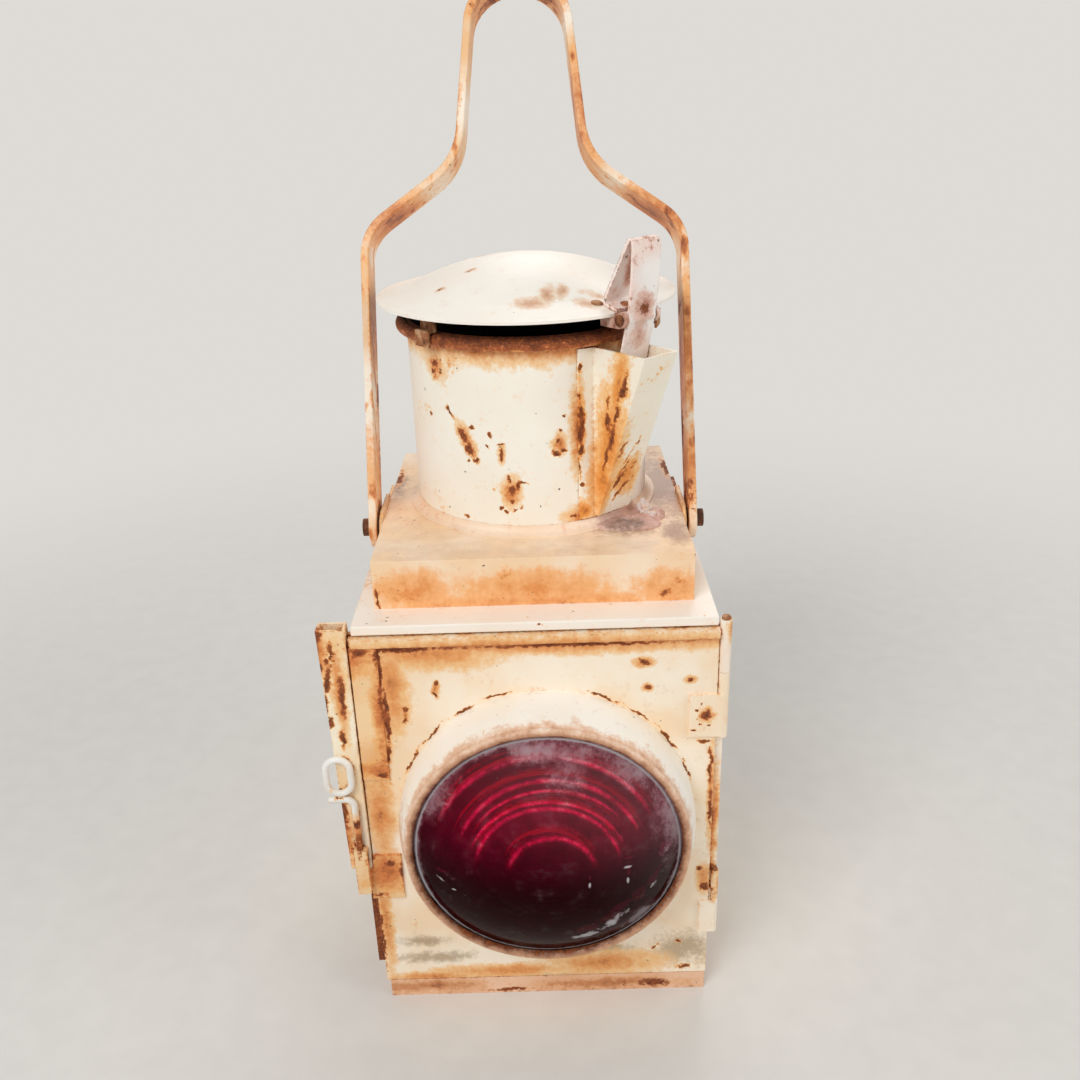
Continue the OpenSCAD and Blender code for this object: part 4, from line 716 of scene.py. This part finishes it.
plate_paint = old_paint(
    "stained_paint_on_plates", "#f9d6a6", "#f0b478", worn_edge=0.7, seam=0.6, speckle=0.5, mottle=0.9,
    streak=0.15, glow="#f4b46c", stain="#d87c3a",
    tan=[(-80, -87, 210, 14, 5, 18), (-72.5, -87, 176, 6, 5, 44), (-78, -87, 84, 20, 6, 18),
         (-76, -87, 146, 16, 5, 8)],
    bare=[(-79, -87, 209, 6, 3, 4), (-72, -87, 208, 2.4, 3, 9), (-71.6, -87, 186, 1.5, 3, 16),
          (-70, -87, 150, 2.4, 3, 5), (-73, -87, 143, 7, 3, 2), (-70, -87, 84, 2, 3, 12),
          (-82, -87, 70, 7, 3, 3), (-86, -87, 96, 4, 6, 9), (-76, -87, 90, 3, 3, 2)])
strap_paint = old_paint(
    "cream_lead_paint_on_hinge_straps", "#fff2de", "#fbdcb4", worn_edge=0.3, seam=0.6, speckle=0.5,
    mottle=0.6, streak=0.05, glow="#f6c383", stain="#e28a42",
    tan=[(78.3, -87, 171.5, 6, 5, 6), (86, -87, 68, 5, 5, 12)],
    bare=[(78.3, -86.2, 171.5, 4.4, 3, 3.6), (73.6, -86.2, 173.8, 1.6, 2, 1.4),
          (73.2, -86.2, 169.5, 1.2, 2, 1.2), (75.2, -86.2, 166.6, 1.3, 2, 1.1),
          (79, -86.2, 165.2, 1.4, 2, 1.0), (76, -86.2, 177, 1.2, 2, 1.2),
          (72, -86.2, 163.6, 2.4, 2, 1.0)])
finish_node("door_panel", door_paint, 0.45)
finish_node("door_edge_plate", plate_paint, 0.35)
finish_node("door_keeper_plate", plate_paint, 0.3)
finish_node("door_hinge_straps", strap_paint, 0.3)


# Bezel, seal and retainer: the bezel is spun from steel sheet and painted white, its lip
# turned in over the putty. Rust creeps out of the lip, and the sleeve behind is bare. The bezel's
# bottom and right side are painted darker as painted shade.
bezel_paint = old_paint(
    "white_lead_paint_on_bezel", "#fffaf0", "#faeed8", crumble=0.6, worn_edge=0.0, seam=0.3, speckle=0.3,
    mottle=0.5, streak=0.0, glow="#e8bc9a", stain="#bd8763", deep="#7a4c36",
    tan=[(LENS_X, LENS_Z, 63.4, 5.2, -90), (LENS_X, LENS_Z, 62.6, 3.6, -90), (-62, -98, 108, 10, 12, 34)],
    bare=[(LENS_X, LENS_Z, 62.2, 1.5, -90)],
    # The grime spots at the bezel's bottom and right side are painted shade.
    grime=[(LENS_X, -108, 50, 70, 14, 12), (66, -108, 100, 10, 12, 40)],
    dirt="#8d8072")
putty = rusted_steel("cracked_grey_putty", "#3a3430", "#6e655a", "#958a7a", 0.85, 0.2)
finish_node("lens_bezel", bezel_paint)
finish_node("lens_seal", putty)
finish_node("lens_retainer", brown_rust)
finish_node("retainer_screws", brown_rust)


# Lens: ruby glass pressed in a mould, smooth outside and stepped in rings inside. The light that
# the risers catch from above is painted on: bright arcs on the dome, bright upper risers and a lighter
# upper half. Dust lies along the lip. Towards its foot the glass bends light less, so that it mirrors less
# of the floor.
CLEAREST = 0.87
ruby, tree, mm = new_material("pressed_ruby_glass")
centred = put(tree, "VectorMath", {0: mm, 1: (LENS_X, 0, LENS_Z)}, operation="SUBTRACT")
flat = put(tree, "VectorMath", {0: centred, 1: (1, 0, 1)}, operation="MULTIPLY")
radius = put(tree, "VectorMath", {0: flat}, take="Value", operation="LENGTH")
true_normal = put(tree, "NewGeometry", take="True Normal")
own_normal = put(tree, "VectorTransform", {0: true_normal},
                 vector_type="NORMAL", convert_from="WORLD", convert_to="OBJECT")
facing = put(tree, "SeparateXYZ", {0: own_normal}, take="Y")
lit_upper_riser = between(tree, reckon(tree, "ABSOLUTE", facing), 0.6, 0.3)
height = put(tree, "SeparateXYZ", {0: centred}, take="Z")
upper = between(tree, reckon(tree, "DIVIDE", height, radius), 0.0, 0.7)
lit_upper_riser = reckon(tree, "MULTIPLY", lit_upper_riser, upper)
lean = put(tree, "VectorMath", {0: centred, 1: (0.5, 0, 0.85)}, take="Value", operation="DOT_PRODUCT")
film = uneven(tree, mm, 9, 8.0, 0.76)

# Painted light in the glass: highlight arcs over the risers, and a painted glow over the middle.
painted_arcs = patches(tree, mm, [
    (4.6, 116.9, 19.6, 2.3, 115), (2.8, 117.2, 32.7, 1.8, 118), (2.8, 116.2, 36.3, 1.3, 124),
    (3.9, 119.5, 42.0, 1.7, 128), (3.9, 118.5, 38.9, 1.2, 136), (2.1, 119.0, 51.5, 1.8, 134),
])
painted_arcs = reckon(tree, "MULTIPLY", painted_arcs, between(tree, film, 0.36, 0.60, 0.28, 0.85))
painted_bloom = patches(tree, mm, [
    (0, -118, 140, 50, 40, 34), (-22, -118, 134, 34, 30, 26, -30), (30, -118, 134, 30, 30, 26, 30),
])
painted_bloom = reckon(tree, "MULTIPLY", painted_bloom, between(tree, film, 0.36, 0.62, 0.02, 0.34))
painted_light = reckon(tree, "MAXIMUM", painted_arcs, painted_bloom)
# Painted light and shade: the glass is dark wine low down and lighter crimson high up.
colour = blend(tree, between(tree, height, -20, 34), linear("#560216"), linear("#b00c40"))
colour = blend(tree, painted_arcs, colour, linear("#f4164c"))
# Painted light: the risers of the upper half are painted bright crimson.
colour = blend(tree, lit_upper_riser, colour, linear("#ff2a58"))

# Dirt lies on the outside only: dust along the lip, motes, and chips of old paint and putty. The
# thin pale ring round the glass's edge among the chips is a painted reflection.
away, chance = cells(tree, mm, 6)
mote = reckon(tree, "MULTIPLY_ADD", chance, 0.09, -0.035)
mote = between(tree, reckon(tree, "SUBTRACT", mote, away), 0.0, 0.02, 0.0, 0.55)
dusty = patches(tree, mm, [
    (60, -108, 132, 18, 14, 38, -14), (44, -112, 164, 26, 14, 16, 30), (4, -112, 172, 34, 14, 9),
    (-48, -110, 150, 12, 14, 22, 30), (12, -114, 160, 13, 14, 14), (46, -110, 78, 22, 14, 7, -34),
    (LENS_X, LENS_Z, 61.6, 3.0, -60),
])
veil = reckon(tree, "MULTIPLY_ADD", film, 2.6, dusty)
veil = between(tree, veil, 1.35, 2.45, 0.0, 0.66)
# The last ring in this list, round the edge of the glass, is a painted reflection.
chips_and_rim_glint = patches(tree, mm, [
    (57, -108, 116, 6, 9, 9, 24), (52, -110, 101, 3.4, 9, 14, 30), (44, -110, 90, 6, 9, 9, 38),
    (36, -112, 84, 12, 12, 5, -40), (30, -112, 77, 13, 12, 7, -30), (20, -113, 71, 13, 12, 5, -12),
    (21.4, -124, 109.7, 1.2, 14, 3.4), (39, -118, 107.6, 1.3, 14, 4.2), (39, -118, 115.5, 4, 14, 1.6),
    (-47, -113, 106, 5, 12, 1.6, 35), (-41, -116, 101.5, 2.6, 12, 1.3), (LENS_X, LENS_Z, 61.2, 0.8, -90),
])
flaky = reckon(tree, "MULTIPLY_ADD", film, 1.7, chips_and_rim_glint)
chips_and_rim_glint = between(tree, flaky, 1.2, 1.42, 0.0, 0.92)
front = between(tree, facing, -0.4, -0.8)
dirt = reckon(tree, "MAXIMUM", veil, mote)
dirt = reckon(tree, "MAXIMUM", dirt, chips_and_rim_glint)
dirt = reckon(tree, "MULTIPLY", dirt, front)
painted_light = reckon(tree, "MULTIPLY", painted_light, front)
colour = blend(tree, dirt, colour, linear("#b9b6ba"))

# The painted light, the lit risers and the dirt hide the inside, and the rest is clear.
clear = reckon(tree, "MAXIMUM", lit_upper_riser, dirt)
clear = reckon(tree, "MAXIMUM", clear, painted_light)
clear = reckon(tree, "MULTIPLY_ADD", clear, -CLEAREST, CLEAREST)
haze = reckon(tree, "MULTIPLY_ADD", dirt, 0.7, 0.04)
bend = between(tree, lean, -10, 56, 1.10, 1.48)
glass = put(tree, "BsdfPrincipled", {
    "Base Color": colour, "Roughness": haze, "Transmission Weight": clear, "IOR": bend,
})
put(tree, "OutputMaterial", {"Surface": glass})
finish_node("lens", ruby)


# Ring and hook of the latch: 3.2 mm steel wire bent over a mandrel, thickly painted white
# so that the paint is chipped only where the ring rubs on the hook.
wire_paint = old_paint(
    "chipped_white_paint_on_wire", "#f4f2ec", "#e3dccf", worn_edge=0.0, seam=0.4, speckle=0.7, mottle=0.4,
    streak=0.0,
    tan=[(-89, -89, 112, 6, 6, 16), (-90, -89, 103, 6, 6, 12)],
    bare=[(-95, -89, 133, 5, 5, 1.6), (-89, -88, 104, 6, 6, 12), (-88, -90, 118, 5, 5, 4)])
finish_node("latch_ring", wire_paint)
finish_node("latch_hook", wire_paint)


# Handle: one flat bar forged to the arch, bolted to the brackets. Hands have worn the
# white paint to tan rust, most of all on the neck and the bow.
handle_paint = old_paint(
    "hand_worn_paint_on_handle", "#fbeedb", "#efbd86", worn_edge=0.8, seam=0.5, speckle=0.6, mottle=1.0,
    streak=0.9, glow="#f1ad6c", stain="#cc7436", deep="#8a4522",
    tan=[(0, 96, 480, 40, 40, 22), (34, 70, 430, 16, 40, 50), (-34, 74, 440, 7, 40, 26),
         (-64, 50, 380, 26, 40, 22), (64, 50, 380, 28, 40, 26), (79, 24, 310, 6, 40, 60),
         (79, -2, 262, 9, 30, 30), (-79, 10, 262, 5, 30, 40), (-76, 30, 330, 3, 40, 40)],
    bare=[(79, -8, 250, 6, 16, 14), (-79, -8, 248, 5, 14, 8), (64, 50, 372, 12, 14, 4, 30),
          (-64, 48, 372, 10, 14, 4, -30), (0, 96, 478, 28, 12, 5), (79, 30, 335, 4, 12, 10),
          (-76, 22, 296, 3, 12, 20), (-76, 14, 268, 3, 12, 14), (77, 14, 276, 3, 12, 20)])
finish_node("handle", handle_paint, 0.8)


# Cap with its hinge leaf: spun from sheet, a flat brim round a shallow dome. It is the
# cleanest piece, white with thin tan smears, and its faces that look down are painted dark as painted
# shade.
cap_paint = old_paint(
    "white_lead_paint_on_cap", "#fff9ee", "#fcf0e0", under=0.92, worn_edge=0.0, seam=0.2, speckle=0.12,
    mottle=0.5, streak=0.0, glow="#f2d6ba", stain="#dcab86", deep="#bd8460",
    tan=[(10, -32, 356, 5, 12, 9, 24), (17, -28, 357, 4, 9, 8, 20), (3, -38, 354, 11, 7, 5),
         (30, -28, 356, 12, 6, 3, 22), (28, -36, 353, 9, 7, 4, 20), (-25, -1, 363, 4, 3, 3),
         (-38, -14, 356.5, 4, 3, 3), (30, 40, 356, 16, 12, 6), (-20, 30, 364, 8, 5, 4)],
    bare=[(-38.5, -13.9, 356.4, 1.6, 1.6, 1.6), (-36, -20, 355, 1.4, 1.4, 1.4), (26, -20, 357, 3, 2, 2),
          (-26, -2, 363, 1.4, 1.4, 1.4)])
finish_node("cap", cap_paint)
finish_node("cap_hinge_moving_leaf", brown_rust)


# Catch: a strip of spring steel folded double. The outer leg turns on a pin between two
# ears and ends in a curl in the pocket; the inner leg, which bends, is riveted to the brim.
catch_paint = old_paint(
    "pinkish_traces_on_spring_strip", "#fffaf5", "#f8dccf", worn_edge=0.75, seam=0.6, speckle=1.4,
    mottle=0.9, streak=0.25, glow="#e9c0ae", stain="#b9765c", deep="#7a4430",
    tan=[(50, -42, 352, 9, 10, 10), (46, -38, 366, 4, 9, 12), (52, -46, 338, 8, 10, 8)],
    bare=[(52, -44, 351, 3, 8, 3), (47, -40, 358, 1.6, 6, 3), (49, -40, 363, 1.5, 6, 2),
          (52, -46, 343, 2, 6, 2)],
    grime=[(50, -42, 350, 9, 10, 13)],
    dirt="#b37f6c")
spring_rust = rusted_steel("brown_rust_with_pink_traces", "#85503e", "#c9967f", "#f0d8ca")
finish_node("catch_lever", catch_paint, 0.25)
finish_node("catch_ears", spring_rust, 0.25)
finish_node("catch_pin", brown_rust)
finish_node("cap_rivets", pale_rust)

# The inner leg, riveted at its foot, is a copy of the spring strip with its place baked into its mesh, and
# the CAD strip is hidden.
leaf = nodes["catch_spring"]
bent_leaf = bpy.data.objects.new("catch_inner_leg", leaf.data.copy())
bent_leaf.matrix_world = leaf.matrix_world
bpy.context.scene.collection.objects.link(bent_leaf)
bent_leaf.data.materials.clear()
bent_leaf.data.materials.append(catch_paint)
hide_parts("catch_spring")
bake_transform(bent_leaf)
